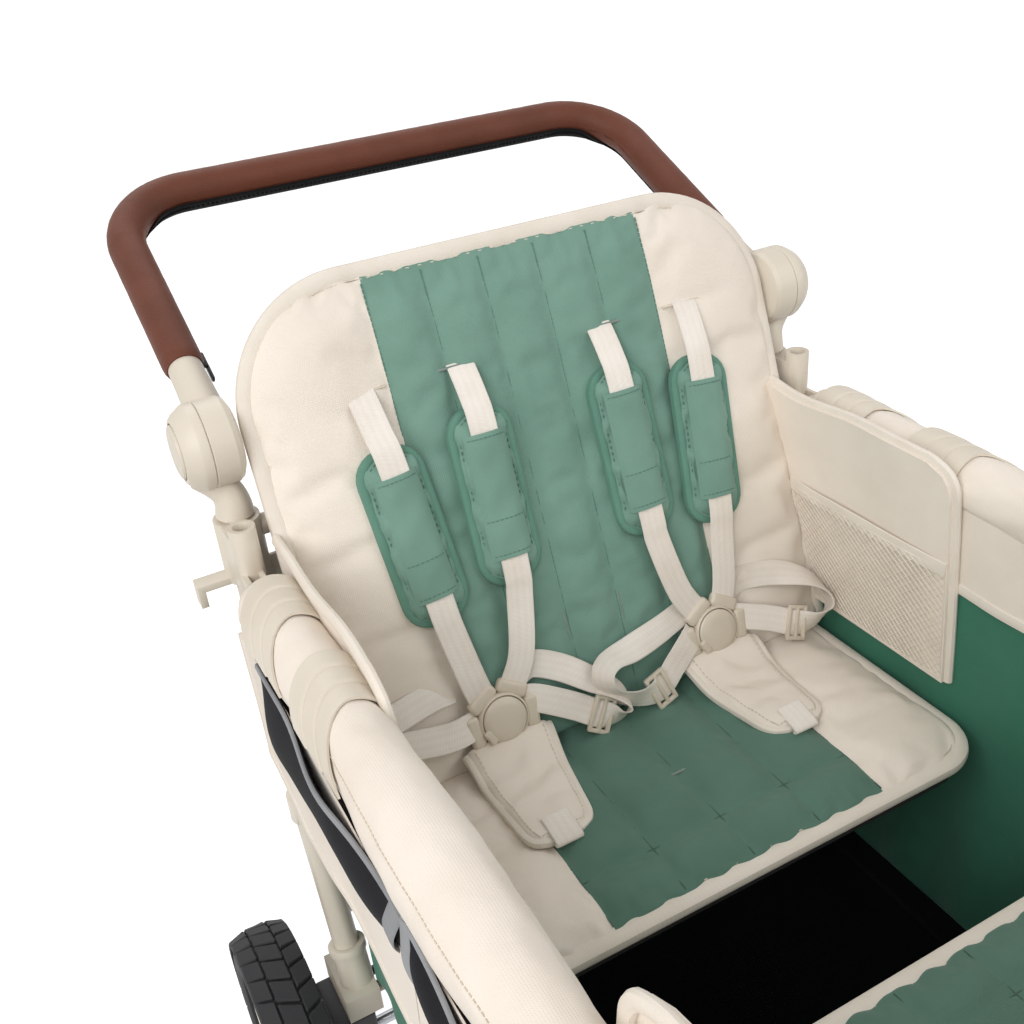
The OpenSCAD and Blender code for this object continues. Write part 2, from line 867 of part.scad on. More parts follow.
module caster_fork_right() {
    color(frame_cream) front_end() right_side() fork();
}

module at_front_wheel() {
    translate([caster_x, caster_y - trail, front_d / 2]) children();
}

module front_tyre_left() {
    color(black) front_end() left_side() at_front_wheel() tyre(front_d, front_wheel_w);
}

module front_rim_left() {
    color(fabric_cream) front_end() left_side() at_front_wheel()
        rim(front_d, front_wheel_w, front_axle_r + run_gap);
}

module front_tyre_right() {
    color(black) front_end() right_side() at_front_wheel() tyre(front_d, front_wheel_w);
}

module front_rim_right() {
    color(fabric_cream) front_end() right_side() at_front_wheel()
        rim(front_d, front_wheel_w, front_axle_r + run_gap);
}

// A straight stem with a loop to hold, hinged low on the front
module pull_handle() {
    color(black) front_end() translate([0, pull_y, pull_z]) rotate([pull_lean, 0, 0]) difference() {
        union() {
            bar_x(pull_eye_r, -pull_eye_w / 2, pull_eye_w / 2, 0, 0);
            cylinder(d = pull_d, h = pull_len);
            translate([0, 0, pull_len + loop_r]) rotate([90, 0, 0]) {
                both_sides() translate([loop_w / 2, 0, 0]) rotate([0, 0, -90])
                    rotate_extrude(angle = 180) translate([loop_r, 0]) circle(d = loop_d);
                for (side = [-1, 1]) bar_x(loop_d / 2, -loop_w / 2, loop_w / 2, side * loop_r, 0);
            }
        }
        bar_x(pin_r + run_gap, -pull_eye_w, pull_eye_w, 0, 0);
    }
}

// Side rails that fold down at the middle

module rail_tube() {
    bar = rail_d * rail_bar_share;
    difference() {
        union() {
            translate([rail_x, hinge_reach, rail_z]) rotate([-90, 0, 0])
                cylinder(r = rail_r, h = pivot_y - eye_reach - hinge_reach);
            box(rail_x - eye_t / 2, rail_x + eye_t / 2, pivot_y - eye_reach - over, pivot_y,
                rail_z - bar / 2, rail_z + bar / 2);
            bar_x(eye_r, rail_x - eye_t / 2, rail_x + eye_t / 2, pivot_y, rail_z);
        }
        bar_x(pin_r + run_gap, rail_x - rail_d, rail_x + rail_d, pivot_y, rail_z);
    }
}

// The flat ear of a rail half at the middle hinge, on one side of the rail's middle plane
module rail_lug(side) {
    near = rail_x + (side > 0 ? lug_gap / 2 : -lug_gap / 2 - lug_t);
    bar_x(eye_r, near, near + lug_t, 0, rail_z);
    box(near, near + lug_t, 0, hinge_reach + over, rail_z - eye_r, rail_z + eye_r);
}

module rail_tubes_rear() {
    color(steel) rear_end() both_sides() {
        rail_tube();
        rail_lug(-1);
        bar_x(pin_r, rail_x - lug_gap / 2 - over, rail_x + lug_gap / 2 + lug_t, 0, rail_z);
    }
}

module rail_tubes_front() {
    color(steel) front_end() both_sides() difference() {
        union() {
            rail_tube();
            rail_lug(1);
        }
        bar_x(pin_r + run_gap, rail_x, rail_x + rail_d, 0, rail_z);
    }
}

module rail_cover() {
    translate([rail_x, cover_mid, rail_z]) rotate([-90, 0, 0]) difference() {
        cylinder(r = cover_r, h = pivot_y - cover_end - cover_mid);
        translate([0, 0, -over]) cylinder(r = rail_r + fit_gap, h = pivot_y);
        translate([0, 0, -over]) cylinder(r = cover_bore_r, h = hinge_reach + 2 * over);
    }
}

module rail_covers_rear() {
    color(fabric_cream) rear_end() both_sides() rail_cover();
}

module rail_covers_front() {
    color(fabric_cream) front_end() both_sides() rail_cover();
}

// One stepped saddle: three arches over the cover, the middle one proudest
module saddle() {
    inner = cover_r + fit_gap;
    arch = saddle_w * saddle_arch_share;
    rotate([-90, 0, 0]) rotate([0, 0, -180 + saddle_from]) {
        rotate_extrude(angle = 180 - saddle_from) translate([inner, 0]) square([saddle_proud / 2, saddle_w]);
        for (k = [0 : 2]) translate([0, 0, k * (saddle_w - arch) / 2])
            rotate_extrude(angle = 180 - saddle_from) translate([inner, 0]) square([saddle_proud, arch]);
    }
}

module rail_saddles_rear() {
    color(frame_cream) rear_end() both_sides() for (y = saddle_places)
        translate([rail_x, y, rail_z]) saddle();
}

module rail_saddles_front() {
    color(frame_cream) front_end() both_sides() for (y = saddle_places)
        translate([rail_x, y, rail_z]) saddle();
}

// Floor

module knuckle(x, w, r, y, z, board_y) {
    bar_x(r, x - w / 2, x + w / 2, y, z);
    box(x - w / 2, x + w / 2, min(y, board_y), max(y, board_y), floor_height + floor_lift, z + r);
}

module floor_half(mid_places, mid_w) {
    rod_r = floor_rod_d / 2 + run_gap;
    difference() {
        union() {
            box(-floor_w / 2, floor_w / 2, floor_edge, pivot_y - floor_edge,
                floor_height + floor_lift, floor_height + floor_lift + floor_t);
            for (x = floor_knuckle_places)
                knuckle(x, knuckle_w, floor_rod_d / 2 + knuckle_wall, pivot_y, floor_height,
                    pivot_y - floor_edge - over);
            for (x = mid_places)
                knuckle(x, mid_w, floor_pin_d / 2 + knuckle_wall, 0, floor_height, floor_edge + over);
        }
        bar_x(rod_r, -post_x, post_x, pivot_y, floor_height);
    }
}

module rear_floor_board() {
    color(black) rear_end() {
        floor_half(floor_mid_places, knuckle_w);
        bar_x(floor_pin_d / 2, -floor_mid_out, floor_mid_out, 0, floor_height);
    }
}

module front_floor_board() {
    color(black) front_end() difference() {
        floor_half(floor_mid_between, floor_mid_out - knuckle_w - 2 * knuckle_gap);
        bar_x(floor_pin_d / 2 + run_gap, -post_x, post_x, 0, floor_height);
    }
}

// Benches

// A plate whose top corners are round, its lower edge on z = 0
module round_plate(w, h, corner, t) {
    rotate([90, 0, 0]) linear_extrude(t) {
        translate([-w / 2, 0]) square([w, h - corner]);
        translate([-w / 2 + corner, 0]) square([w - 2 * corner, h]);
        for (side = [-1, 1]) translate([side * (w / 2 - corner), h - corner]) circle(r = corner);
    }
}

module back_board() {
    on_back() translate([0, back_depth, back_board_low])
        round_plate(back_w - 2 * back_board_in, back_len - back_board_in - back_board_low,
            back_corner, board_t);
}

module rear_back_board() {
    color(black) rear_end() back_board();
}

module front_back_board() {
    color(black) front_end() back_board();
}

module back_pad() {
    on_back() translate([0, pad_t, 0]) rotate([90, 0, 0])
        quilt(back_w, back_len, pad_t, panel_w / back_channels, back_channels, 0, back_corner, pad_rows);
}

module rear_back_pad() {
    color(sage) rear_end() back_pad();
}

module front_back_pad() {
    color(sage) front_end() back_pad();
}

module seat_board() {
    difference() {
        union() {
            box(-seat_w / 2 + seat_board_in, seat_w / 2 - seat_board_in,
                crease_y - seat_depth + seat_board_in, seat_rod_y - seat_board_gap,
                seat_board_z, seat_board_z + board_t);
            for (x = seat_knuckle_places) {
                bar_x(seat_knuckle_r, x - seat_knuckle_w / 2, x + seat_knuckle_w / 2, seat_rod_y, seat_rod_z);
                box(x - seat_knuckle_w / 2, x + seat_knuckle_w / 2,
                    seat_rod_y - seat_board_gap - over, seat_rod_y, seat_board_z, seat_board_z + board_t);
            }
        }
        bar_x(seat_rod_d / 2 + run_gap, -post_x, post_x, seat_rod_y, seat_rod_z);
    }
}

module rear_seat_board() {
    color(black) rear_end() seat_board();
}

module front_seat_board() {
    color(black) front_end() seat_board();
}

module seat_pad() {
    translate([0, crease_y, seat_pad_z]) rotate([0, 0, 180])
        quilt(seat_w, seat_depth, pad_t, panel_w / seat_channels, seat_channels, 90, seat_corner, pad_rows);
}

module rear_seat_pad() {
    color(sage) rear_end() seat_pad();
}

module front_seat_pad() {
    color(sage) front_end() seat_pad();
}

// Harness

// Webbing between two places on the backrest
module web(from, to) {
    run = to - from;
    on_back() translate([from[0], web_sink - web_t, from[1]]) rotate([0, atan2(run[0], run[1]), 0])
        translate([-web_w / 2, 0, 0]) cube([web_w, web_t, norm(run)]);
}

module harness_straps() {
    both_sides() {
        web([buckle_x + buckle_meet, web_low], outer_foot);
        web(outer_foot, outer_slot);
        web([buckle_x - buckle_meet, web_low], inner_foot);
        web(inner_foot, inner_slot);
        web([buckle_x + buckle_d / 2, waist_up], [waist_out, waist_up]);
        web([buckle_x - buckle_d / 2, waist_up], [waist_in, waist_up]);
    }
}

// A pad that lies on the webbing from its foot towards its slot
module shoulder_pad(foot, slot) {
    run = slot - foot;
    on_back() translate([foot[0], web_sink - web_t - fit_gap, foot[1]])
        rotate([0, atan2(run[0], run[1]), 0]) rotate([90, 0, 0])
            quilt(shoulder_w, shoulder_len, shoulder_t, shoulder_w, 0, 0,
                shoulder_w * pad_corner_share, pad_rows);
}

module shoulder_pads() {
    both_sides() {
        shoulder_pad(outer_foot, outer_slot);
        shoulder_pad(inner_foot, inner_slot);
    }
}

// A disc on the backrest, its faces at two distances in front of the back's plane
module back_disc(r, near, far) {
    on_back() translate([buckle_x, -near, buckle_up]) rotate([90, 0, 0]) cylinder(r = r, h = far - near);
}

module adjuster(x) {
    on_back() box(x - adjuster_w / 2, x + adjuster_w / 2, -web_face - adjuster_t, -web_face,
        waist_up - adjuster_h / 2, waist_up + adjuster_h / 2);
}

module buckles() {
    both_sides() {
        difference() {
            back_disc(buckle_d / 2, web_face, web_face + buckle_t);
            back_disc(buckle_button_d / 2 + loose_gap, web_face + buckle_t - buckle_button_t,
                web_face + buckle_t + over);
        }
        adjuster((buckle_x + buckle_d / 2 + waist_out) / 2);
        adjuster((buckle_x - buckle_d / 2 + waist_in) / 2);
    }
}

module buckle_button() {
    near = web_face + buckle_t - buckle_button_t + buckle_button_travel;
    back_disc(buckle_button_d / 2, near, near + buckle_button_t);
}

module crotch_pads() {
    both_sides() translate([buckle_x, crease_y - crotch_back, seat_height]) rotate([0, 0, 180])
        quilt(crotch_w, crotch_len, crotch_t, crotch_w, 0, 0, crotch_w * pad_corner_share, pad_rows);
}

module rear_harness_straps() {
    color(webbing) rear_end() harness_straps();
}

module front_harness_straps() {
    color(webbing) front_end() harness_straps();
}

module rear_shoulder_pads() {
    color(sage) rear_end() shoulder_pads();
}

module front_shoulder_pads() {
    color(sage) front_end() shoulder_pads();
}

module rear_buckles() {
    color(frame_cream) rear_end() buckles();
}

module front_buckles() {
    color(frame_cream) front_end() buckles();
}

module rear_crotch_pads() {
    color(fabric_cream) rear_end() crotch_pads();
}

module front_crotch_pads() {
    color(fabric_cream) front_end() crotch_pads();
}

module rear_buckle_button_left() {
    color(webbing) rear_end() left_side() buckle_button();
}

module rear_buckle_button_right() {
    color(webbing) rear_end() right_side() buckle_button();
}

module front_buckle_button_left() {
    color(webbing) front_end() left_side() buckle_button();
}

module front_buckle_button_right() {
    color(webbing) front_end() right_side() buckle_button();
}

// Cloth

module wing() {
    top = rail_top + wing_high;
    low = seat_height + wing_low;
    slope = tan(recline);
    back = crease_y + (pad_t * (1 - pad_edge_share) - wing_back_gap) / cos(recline);
    translate([wing_x, 0, 0]) rotate([90, 0, 90]) linear_extrude(wing_t, center = true) polygon([
        [crease_y - wing_low_reach, low],
        [back + (low - seat_height) * slope, low],
        [back + (top - seat_height) * slope, top],
        [crease_y - wing_high_reach, top]
    ]);
}

module rear_wings() {
    color(fabric_cream) rear_end() both_sides() wing();
}

module front_wings() {
    color(fabric_cream) front_end() both_sides() wing();
}

module side_wall() {
    folded_sheet(lining_x, cloth_mid, lining_end, lining_low, lining_top, cloth_t, fold_depth, lining_folds);
    folded_sheet(skirt_x, cloth_mid, skirt_end, skirt_low, skirt_top, cloth_t, fold_depth, skirt_folds);
}

module rear_side_walls() {
    color(deep_green) rear_end() both_sides() side_wall();
}

module front_side_walls() {
    color(deep_green) front_end() both_sides() side_wall();
}

module end_panel() {
    translate([0, end_panel_y + end_panel_t, end_panel_low])
        round_plate(end_panel_w, bracket_z - end_panel_low, end_panel_corner, end_panel_t);
}

module rear_panel() {
    color(deep_green) rear_end() {
        end_panel();
        translate([0, end_panel_y + end_panel_t + rear_pocket_t, rear_pocket_z])
            round_plate(rear_pocket_w, rear_pocket_h, end_panel_corner, rear_pocket_t + over);
    }
}

module front_panel() {
    color(deep_green) front_end() end_panel();
}

rear_frame();
rear_top_brackets();
rear_lower_brackets();
rear_axle_boxes();
rear_axle();
hub_housings();
hub_button_left();
hub_button_right();
handle_hubs();
handle_tube();
handle_grip();
rear_tyre_left();
rear_rim_left();
rear_tyre_right();
rear_rim_right();
brake_pedal();
rear_back_board();
rear_back_pad();
rear_panel();
rear_wings();
rear_side_walls();
rear_harness_straps();
rear_shoulder_pads();
rear_buckles();
rear_crotch_pads();
rear_buckle_button_left();
rear_buckle_button_right();
rear_seat_board();
rear_seat_pad();
rear_floor_board();
front_floor_board();
rail_tubes_rear();
rail_covers_rear();
rail_saddles_rear();
rail_tubes_front();
rail_covers_front();
rail_saddles_front();
front_frame();
front_top_brackets();
front_lower_brackets();
front_back_board();
front_back_pad();
front_panel();
front_wings();
front_side_walls();
front_harness_straps();
front_shoulder_pads();
front_buckles();
front_crotch_pads();
front_buckle_button_left();
front_buckle_button_right();
front_seat_board();
front_seat_pad();
caster_fork_left();
caster_fork_right();
front_tyre_left();
front_rim_left();
front_tyre_right();
front_rim_right();
pull_handle();
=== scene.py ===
"""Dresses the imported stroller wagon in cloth, leather, plastic, rubber and painted metal.

Pieces are drawn in millimetres in the wagon's own frame: x to the right, y from the middle of the wagon
towards the push handle, z up. The front end is the rear end mirrored, and Layout turns both into the frame.
"""

import json
import logging
import math
from collections.abc import Callable, Iterable, Sequence
from dataclasses import dataclass
from enum import Enum

import bmesh
import bpy
from mathutils import Matrix, Vector, noise

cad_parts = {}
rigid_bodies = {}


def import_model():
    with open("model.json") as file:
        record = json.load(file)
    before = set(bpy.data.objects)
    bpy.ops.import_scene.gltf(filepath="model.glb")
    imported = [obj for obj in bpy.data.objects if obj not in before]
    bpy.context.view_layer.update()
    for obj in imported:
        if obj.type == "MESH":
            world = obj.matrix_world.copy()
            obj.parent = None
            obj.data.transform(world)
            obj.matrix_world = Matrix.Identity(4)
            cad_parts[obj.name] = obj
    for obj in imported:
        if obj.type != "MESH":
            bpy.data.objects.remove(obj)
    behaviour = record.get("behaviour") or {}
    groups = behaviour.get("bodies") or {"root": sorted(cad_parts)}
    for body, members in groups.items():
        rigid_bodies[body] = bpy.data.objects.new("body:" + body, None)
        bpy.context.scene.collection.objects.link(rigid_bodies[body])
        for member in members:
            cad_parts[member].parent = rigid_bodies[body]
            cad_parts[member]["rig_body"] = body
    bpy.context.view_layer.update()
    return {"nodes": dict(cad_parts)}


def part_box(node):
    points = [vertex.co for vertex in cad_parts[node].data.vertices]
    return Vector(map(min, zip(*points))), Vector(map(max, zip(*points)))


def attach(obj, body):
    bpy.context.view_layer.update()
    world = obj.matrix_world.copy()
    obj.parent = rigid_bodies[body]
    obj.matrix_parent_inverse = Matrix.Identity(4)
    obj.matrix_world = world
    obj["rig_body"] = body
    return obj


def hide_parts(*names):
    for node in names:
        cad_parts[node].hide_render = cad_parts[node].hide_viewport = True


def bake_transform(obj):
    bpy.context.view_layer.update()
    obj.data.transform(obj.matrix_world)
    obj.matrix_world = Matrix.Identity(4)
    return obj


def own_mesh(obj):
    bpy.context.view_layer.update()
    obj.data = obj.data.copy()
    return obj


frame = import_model()
LOG = logging.getLogger("stroller_wagon")
MM = 0.001
CLOTH_FRAMES = 20


class End(Enum):
    """The two ends of the wagon, with the sign of y in the frame."""

    REAR = 1
    FRONT = -1

    @property
    def word(self) -> str:
        """The end's name as it stands in body and node names."""
        return self.name.lower()


class Side(Enum):
    """The two sides of the wagon, with the sign of x in the frame."""

    LEFT = -1
    RIGHT = 1

    @property
    def word(self) -> str:
        """The side's name as it stands in body and node names."""
        return self.name.lower()


class Coordinates(Enum):
    """What a pattern follows: the frame, or the cloth's own flat lay."""

    FRAME = "Object"
    CLOTH = "UV"


# Finishes


def linear(code: str) -> tuple[float, float, float, float]:
    """Turns an sRGB hex colour to linear RGBA.

    Args:
        code: The colour as #RRGGBB.

    Returns:
        The linear red, green, blue and an alpha of 1.
    """
    parts = [int(code[k : k + 2], 16) / 255 for k in (1, 3, 5)]
    red, green, blue = (c / 12.92 if c <= 0.04045 else ((c + 0.055) / 1.055) ** 2.4 for c in parts)
    return red, green, blue, 1.0


def add_node(
    tree: bpy.types.NodeTree, kind: str, settings: dict | None = None, links: dict | None = None
) -> bpy.types.Node:
    """Adds a node with its settings and links.

    Args:
        tree: The material's node tree.
        kind: The node's type name.
        settings: Values by socket name, socket number or property name.
        links: Output sockets by the name or number of the socket they feed.

    Returns:
        The new node.
    """
    node = tree.nodes.new(kind)
    for key, value in (settings or {}).items():
        if isinstance(key, int) or key in node.inputs:
            node.inputs[key].default_value = value
        else:
            setattr(node, key, value)
    for key, socket in (links or {}).items():
        tree.links.new(socket, node.inputs[key])
    return node


@dataclass(frozen=True)
class Finish:
    """A finish with two close tones that drift over the surface, and a fine relief whose hollows take on the
    darker tone as painted shade.

    Args:
        name: The real material.
        colour: Its main tone.
        shade: The second tone, which drifts in over patches and fills the hollows of the fine relief; where
            it is darker than the main tone, it is painted shade in those hollows.
        roughness: How matt it is.
        grain_mm: Size of its fine relief, as coarse as it needs to show.
        relief_mm: Depth of that relief.
        patch_mm: Size of the drift between the two tones.
        metallic: 1 for bare metal.
        sheen: Weight of the soft glow of fibres at grazing angles.
        coat: Weight of a clear top layer.
        specular: Strength of its mirror-like share.
    """

    name: str
    colour: str
    shade: str
    roughness: float
    grain_mm: float = 1.6
    relief_mm: float = 0.05
    patch_mm: float = 60.0
    metallic: float = 0.0
    sheen: float = 0.0
    coat: float = 0.0
    specular: float = 0.5

    def material(self) -> bpy.types.Material:
        """Makes the material once.

        Returns:
            The material of this name.
        """
        found = bpy.data.materials.get(self.name)
        if found:
            return found
        made = bpy.data.materials.new(self.name)
        made.use_nodes = True
        made.diffuse_color = linear(self.colour)
        tree = made.node_tree
        shader = next(n for n in tree.nodes if n.type == "BSDF_PRINCIPLED")
        for socket, value in {
            "Metallic": self.metallic,
            "Sheen Weight": self.sheen,
            "Sheen Roughness": 0.45,
            "Coat Weight": self.coat,
            "Coat Roughness": 0.2,
            "Specular IOR Level": self.specular,
        }.items():
            shader.inputs[socket].default_value = value
        place = add_node(tree, "ShaderNodeTexCoord")
        drift = add_node(
            tree,
            "ShaderNodeTexNoise",
            {"Scale": 1 / (self.patch_mm * MM), "Detail": 4.0, "Roughness": 0.55},
            {"Vector": place.outputs[Coordinates.FRAME.value]},
        )
        share = add_node(
            tree,
            "ShaderNodeMapRange",
            {"From Min": 0.4, "From Max": 0.75, "To Max": 0.6},
            {"Value": drift.outputs[0]},
        )
        fine = self.relief(tree, place)
        # Painted shade: the hollows of the fine relief are painted up to a quarter of the way towards the
        # second tone.
        painted_hollow_shade = add_node(
            tree, "ShaderNodeMapRange", {"To Min": 0.26, "To Max": 0.0}, {"Value": fine}
        )
        both = add_node(
            tree,
            "ShaderNodeMath",
            {"operation": "ADD", "use_clamp": True},
            {0: share.outputs[0], 1: painted_hollow_shade.outputs[0]},
        )
        tone = add_node(
            tree,
            "ShaderNodeMix",
            {"data_type": "RGBA", 6: linear(self.colour), 7: linear(self.shade)},
            {0: both.outputs[0]},
        )
        matt = add_node(
            tree,
            "ShaderNodeMapRange",
            {"To Min": max(0.03, self.roughness - 0.06), "To Max": min(1.0, self.roughness + 0.06)},
            {"Value": drift.outputs[0]},
        )
        bump = add_node(
            tree, "ShaderNodeBump", {"Strength": 1.0, "Distance": self.relief_mm * MM}, {"Height": fine}
        )
        tree.links.new(tone.outputs[2], shader.inputs["Base Color"])
        tree.links.new(matt.outputs[0], shader.inputs["Roughness"])
        tree.links.new(bump.outputs[0], shader.inputs["Normal"])
        return made

    def relief(self, tree: bpy.types.NodeTree, place: bpy.types.Node) -> bpy.types.NodeSocket:
        """Draws the fine relief, here the even grain of a mould or a paint coat.

        Args:
            tree: The material's node tree.
            place: The Texture Coordinate node.

        Returns:
            The height, from 0 to 1.
        """
        grain = add_node(
            tree,
            "ShaderNodeTexNoise",
            {"Scale": 1 / (self.grain_mm * MM), "Detail": 2.0},
            {"Vector": place.outputs[Coordinates.FRAME.value]},
        )
        return grain.outputs[0]


@dataclass(frozen=True)
class WovenCloth(Finish):
    """A plain weave: threads cross over and under each other along the cloth's own lay."""

    specular: float = 0.25

    def relief(self, tree: bpy.types.NodeTree, place: bpy.types.Node) -> bpy.types.NodeSocket:
        """Draws crossing threads.

        Args:
            tree: The material's node tree.
            place: The Texture Coordinate node.

        Returns:
            The height, from 0 to 1.
        """
        waves = [
            add_node(
                tree,
                "ShaderNodeTexWave",
                {
                    "bands_direction": way,
                    "Scale": math.pi / 10 / (self.grain_mm * MM),
                    "Distortion": 0.6,
                    "Detail": 1.0,
                },
                {"Vector": place.outputs[Coordinates.CLOTH.value]},
            )
            for way in ("X", "Y")
        ]
        crossed = add_node(
            tree,
            "ShaderNodeMath",
            {"operation": "MULTIPLY"},
            {0: waves[0].outputs["Fac"], 1: waves[1].outputs["Fac"]},
        )
        return crossed.outputs[0]


@dataclass(frozen=True)
class RibbedWebbing(Finish):
    """Woven strap with ribs that run along it."""

    def relief(self, tree: bpy.types.NodeTree, place: bpy.types.Node) -> bpy.types.NodeSocket:
        """Draws ribs along the strap with fine picks across them.

        Args:
            tree: The material's node tree.
            place: The Texture Coordinate node.

        Returns:
            The height, from 0 to 1.
        """
        rib = add_node(
            tree,
            "ShaderNodeTexWave",
            {"bands_direction": "X", "Scale": math.pi / 10 / (self.grain_mm * MM)},
            {"Vector": place.outputs[Coordinates.CLOTH.value]},
        )
        pick = add_node(
            tree,
            "ShaderNodeTexWave",
            {"bands_direction": "DIAGONAL", "Scale": math.pi / 10 / (self.grain_mm * MM * 0.7)},
            {"Vector": place.outputs[Coordinates.CLOTH.value]},
        )
        mixed = add_node(
            tree,
            "ShaderNodeMix",
            {"data_type": "FLOAT", 0: 0.4},
            {2: rib.outputs["Fac"], 3: pick.outputs["Fac"]},
        )
        return mixed.outputs[0]


@dataclass(frozen=True)
class GrainedLeather(Finish):
    """Pebbled leather: rounded cells with creases between them."""

    specular: float = 0.25

    def relief(self, tree: bpy.types.NodeTree, place: bpy.types.Node) -> bpy.types.NodeSocket:
        """Draws pebbles.

        Args:
            tree: The material's node tree.
            place: The Texture Coordinate node.

        Returns:
            The height, from 0 to 1.
        """
        cells = add_node(
            tree,
            "ShaderNodeTexVoronoi",
            {"feature": "DISTANCE_TO_EDGE", "Scale": 1 / (self.grain_mm * MM)},
            {"Vector": place.outputs[Coordinates.FRAME.value]},
        )
        rounded = add_node(
            tree, "ShaderNodeMapRange", {"From Max": 0.35}, {"Value": cells.outputs["Distance"]}
        )
        return rounded.outputs[0]


# Polyester duck, 0.4 mm threads drawn at 1.5 mm so that the weave shows; soft and matt
CREAM_CLOTH = WovenCloth("polyester duck, cream", "#F0E6DA", "#E4D8CA", 0.86, 1.5, 0.12, 70.0, sheen=0.12)
SAGE_CLOTH = WovenCloth("polyester duck, sage", "#7A9D8F", "#6B8E80", 0.86, 1.5, 0.12, 70.0, sheen=0.18)
# The seat's sage cloth, painted darker than the backrest's sage: painted shade for the seat, which lies in
# the shade of the bench.
SHADED_SEAT_CLOTH = WovenCloth("polyester duck, deep sage", "#5E7F71", "#527264", 0.86, 1.5, 0.12, 70.0, sheen=0.18)
GREEN_CLOTH = WovenCloth("polyester lining, green", "#3F7E67", "#346C57", 0.8, 1.3, 0.1, 90.0, sheen=0.15)
BLACK_CLOTH = WovenCloth(
    "polyester pack cloth, black", "#1E1E21", "#141416", 0.75, 1.6, 0.15, 60.0, specular=0.1
)
# Bias tape folded over a raw edge, finer and smoother than the duck
CREAM_TAPE = WovenCloth("bias tape, cream", "#EAE1D5", "#DFD4C6", 0.8, 1.2, 0.1, 40.0, sheen=0.1)
SAGE_TAPE = WovenCloth("bias tape, sage", "#66907F", "#588171", 0.8, 1.2, 0.1, 40.0, sheen=0.1)
GREY_TAPE = WovenCloth("bias tape, grey", "#97989A", "#7C7D80", 0.6, 1.2, 0.1, 40.0)
ZIP_TAPE = WovenCloth("zip tape, black", "#1A1A1D", "#111113", 0.7, 1.2, 0.15, 40.0, specular=0.1)
# Harness webbing, ribs of 1.2 mm drawn at 2 mm
WEBBING = RibbedWebbing("polyester webbing, cream", "#F1E9E0", "#DCD0C3", 0.75, 2.0, 0.18, 50.0, sheen=0.1)
# Knitted net, thin round threads
NET_CORD = Finish("knitted net, cream", "#E9E0D3", "#D3C7B7", 0.8, 0.8, 0.05, 30.0, sheen=0.1)
SEWING_THREAD = Finish("sewing thread, cream", "#DCCFBF", "#C8BAA8", 0.7, 0.6, 0.05, 20.0)
SAGE_THREAD = Finish("sewing thread, sage", "#587F70", "#4C7063", 0.7, 0.6, 0.05, 20.0)
# The seat's seam thread, painted darker to carry the seat's painted shade and the painted shade of its seam
# grooves.
SHADED_SEAT_THREAD = Finish("sewing thread, deep sage", "#456055", "#3B5349", 0.7, 0.6, 0.05, 20.0)
SLOT_THREAD = Finish("sewing thread, grey green", "#84918A", "#6F7C75", 0.7, 0.6, 0.05, 20.0)
# Smooth grained leather, with painted shade in the creases between its pebbles, which leaves their rounds
# lighter
LEATHER = GrainedLeather("grained leather, brown", "#693A2A", "#573021", 0.55, 2.4, 0.12, 45.0)
# Injection-moulded nylon and polypropylene with a fine spark-eroded skin
CREAM_PLASTIC = Finish("moulded nylon, cream", "#DAD0C0", "#CCC1B0", 0.42, 1.4, 0.03, 80.0)
BUCKLE_PLASTIC = Finish("moulded acetal, beige", "#DCD0BF", "#CBBEAB", 0.38, 1.4, 0.03, 40.0)
BLACK_PLASTIC = Finish("moulded nylon, black", "#29292D", "#1E1E21", 0.5, 1.4, 0.05, 60.0)
# Powder-coated aluminium tube: a slight orange peel under a satin gloss
FRAME_PAINT = Finish(
    "powder-coated aluminium, cream", "#DBD1C2", "#CFC4B3", 0.34, 2.5, 0.02, 120.0, coat=0.15
)
STEEL = Finish("zinc-plated steel", "#B9BCC0", "#9A9DA2", 0.3, 1.0, 0.01, 25.0, metallic=1.0)
# Tyre rubber, matt with dust in its grain
RUBBER = Finish("tyre rubber", "#212124", "#2F2E2E", 0.78, 1.8, 0.08, 35.0)
RIM_PLASTIC = Finish("moulded polypropylene, cream", "#EAE2D6", "#DBD1C2", 0.45, 1.4, 0.03, 60.0)
BOARD = Finish("hardboard, dark", "#2C2B2C", "#201F20", 0.7, 1.2, 0.06, 50.0)
MAT_CLOTH = WovenCloth("floor mat cloth, black", "#141518", "#0E0F11", 0.85, 2.2, 0.2, 60.0, specular=0.1)


# Shapes


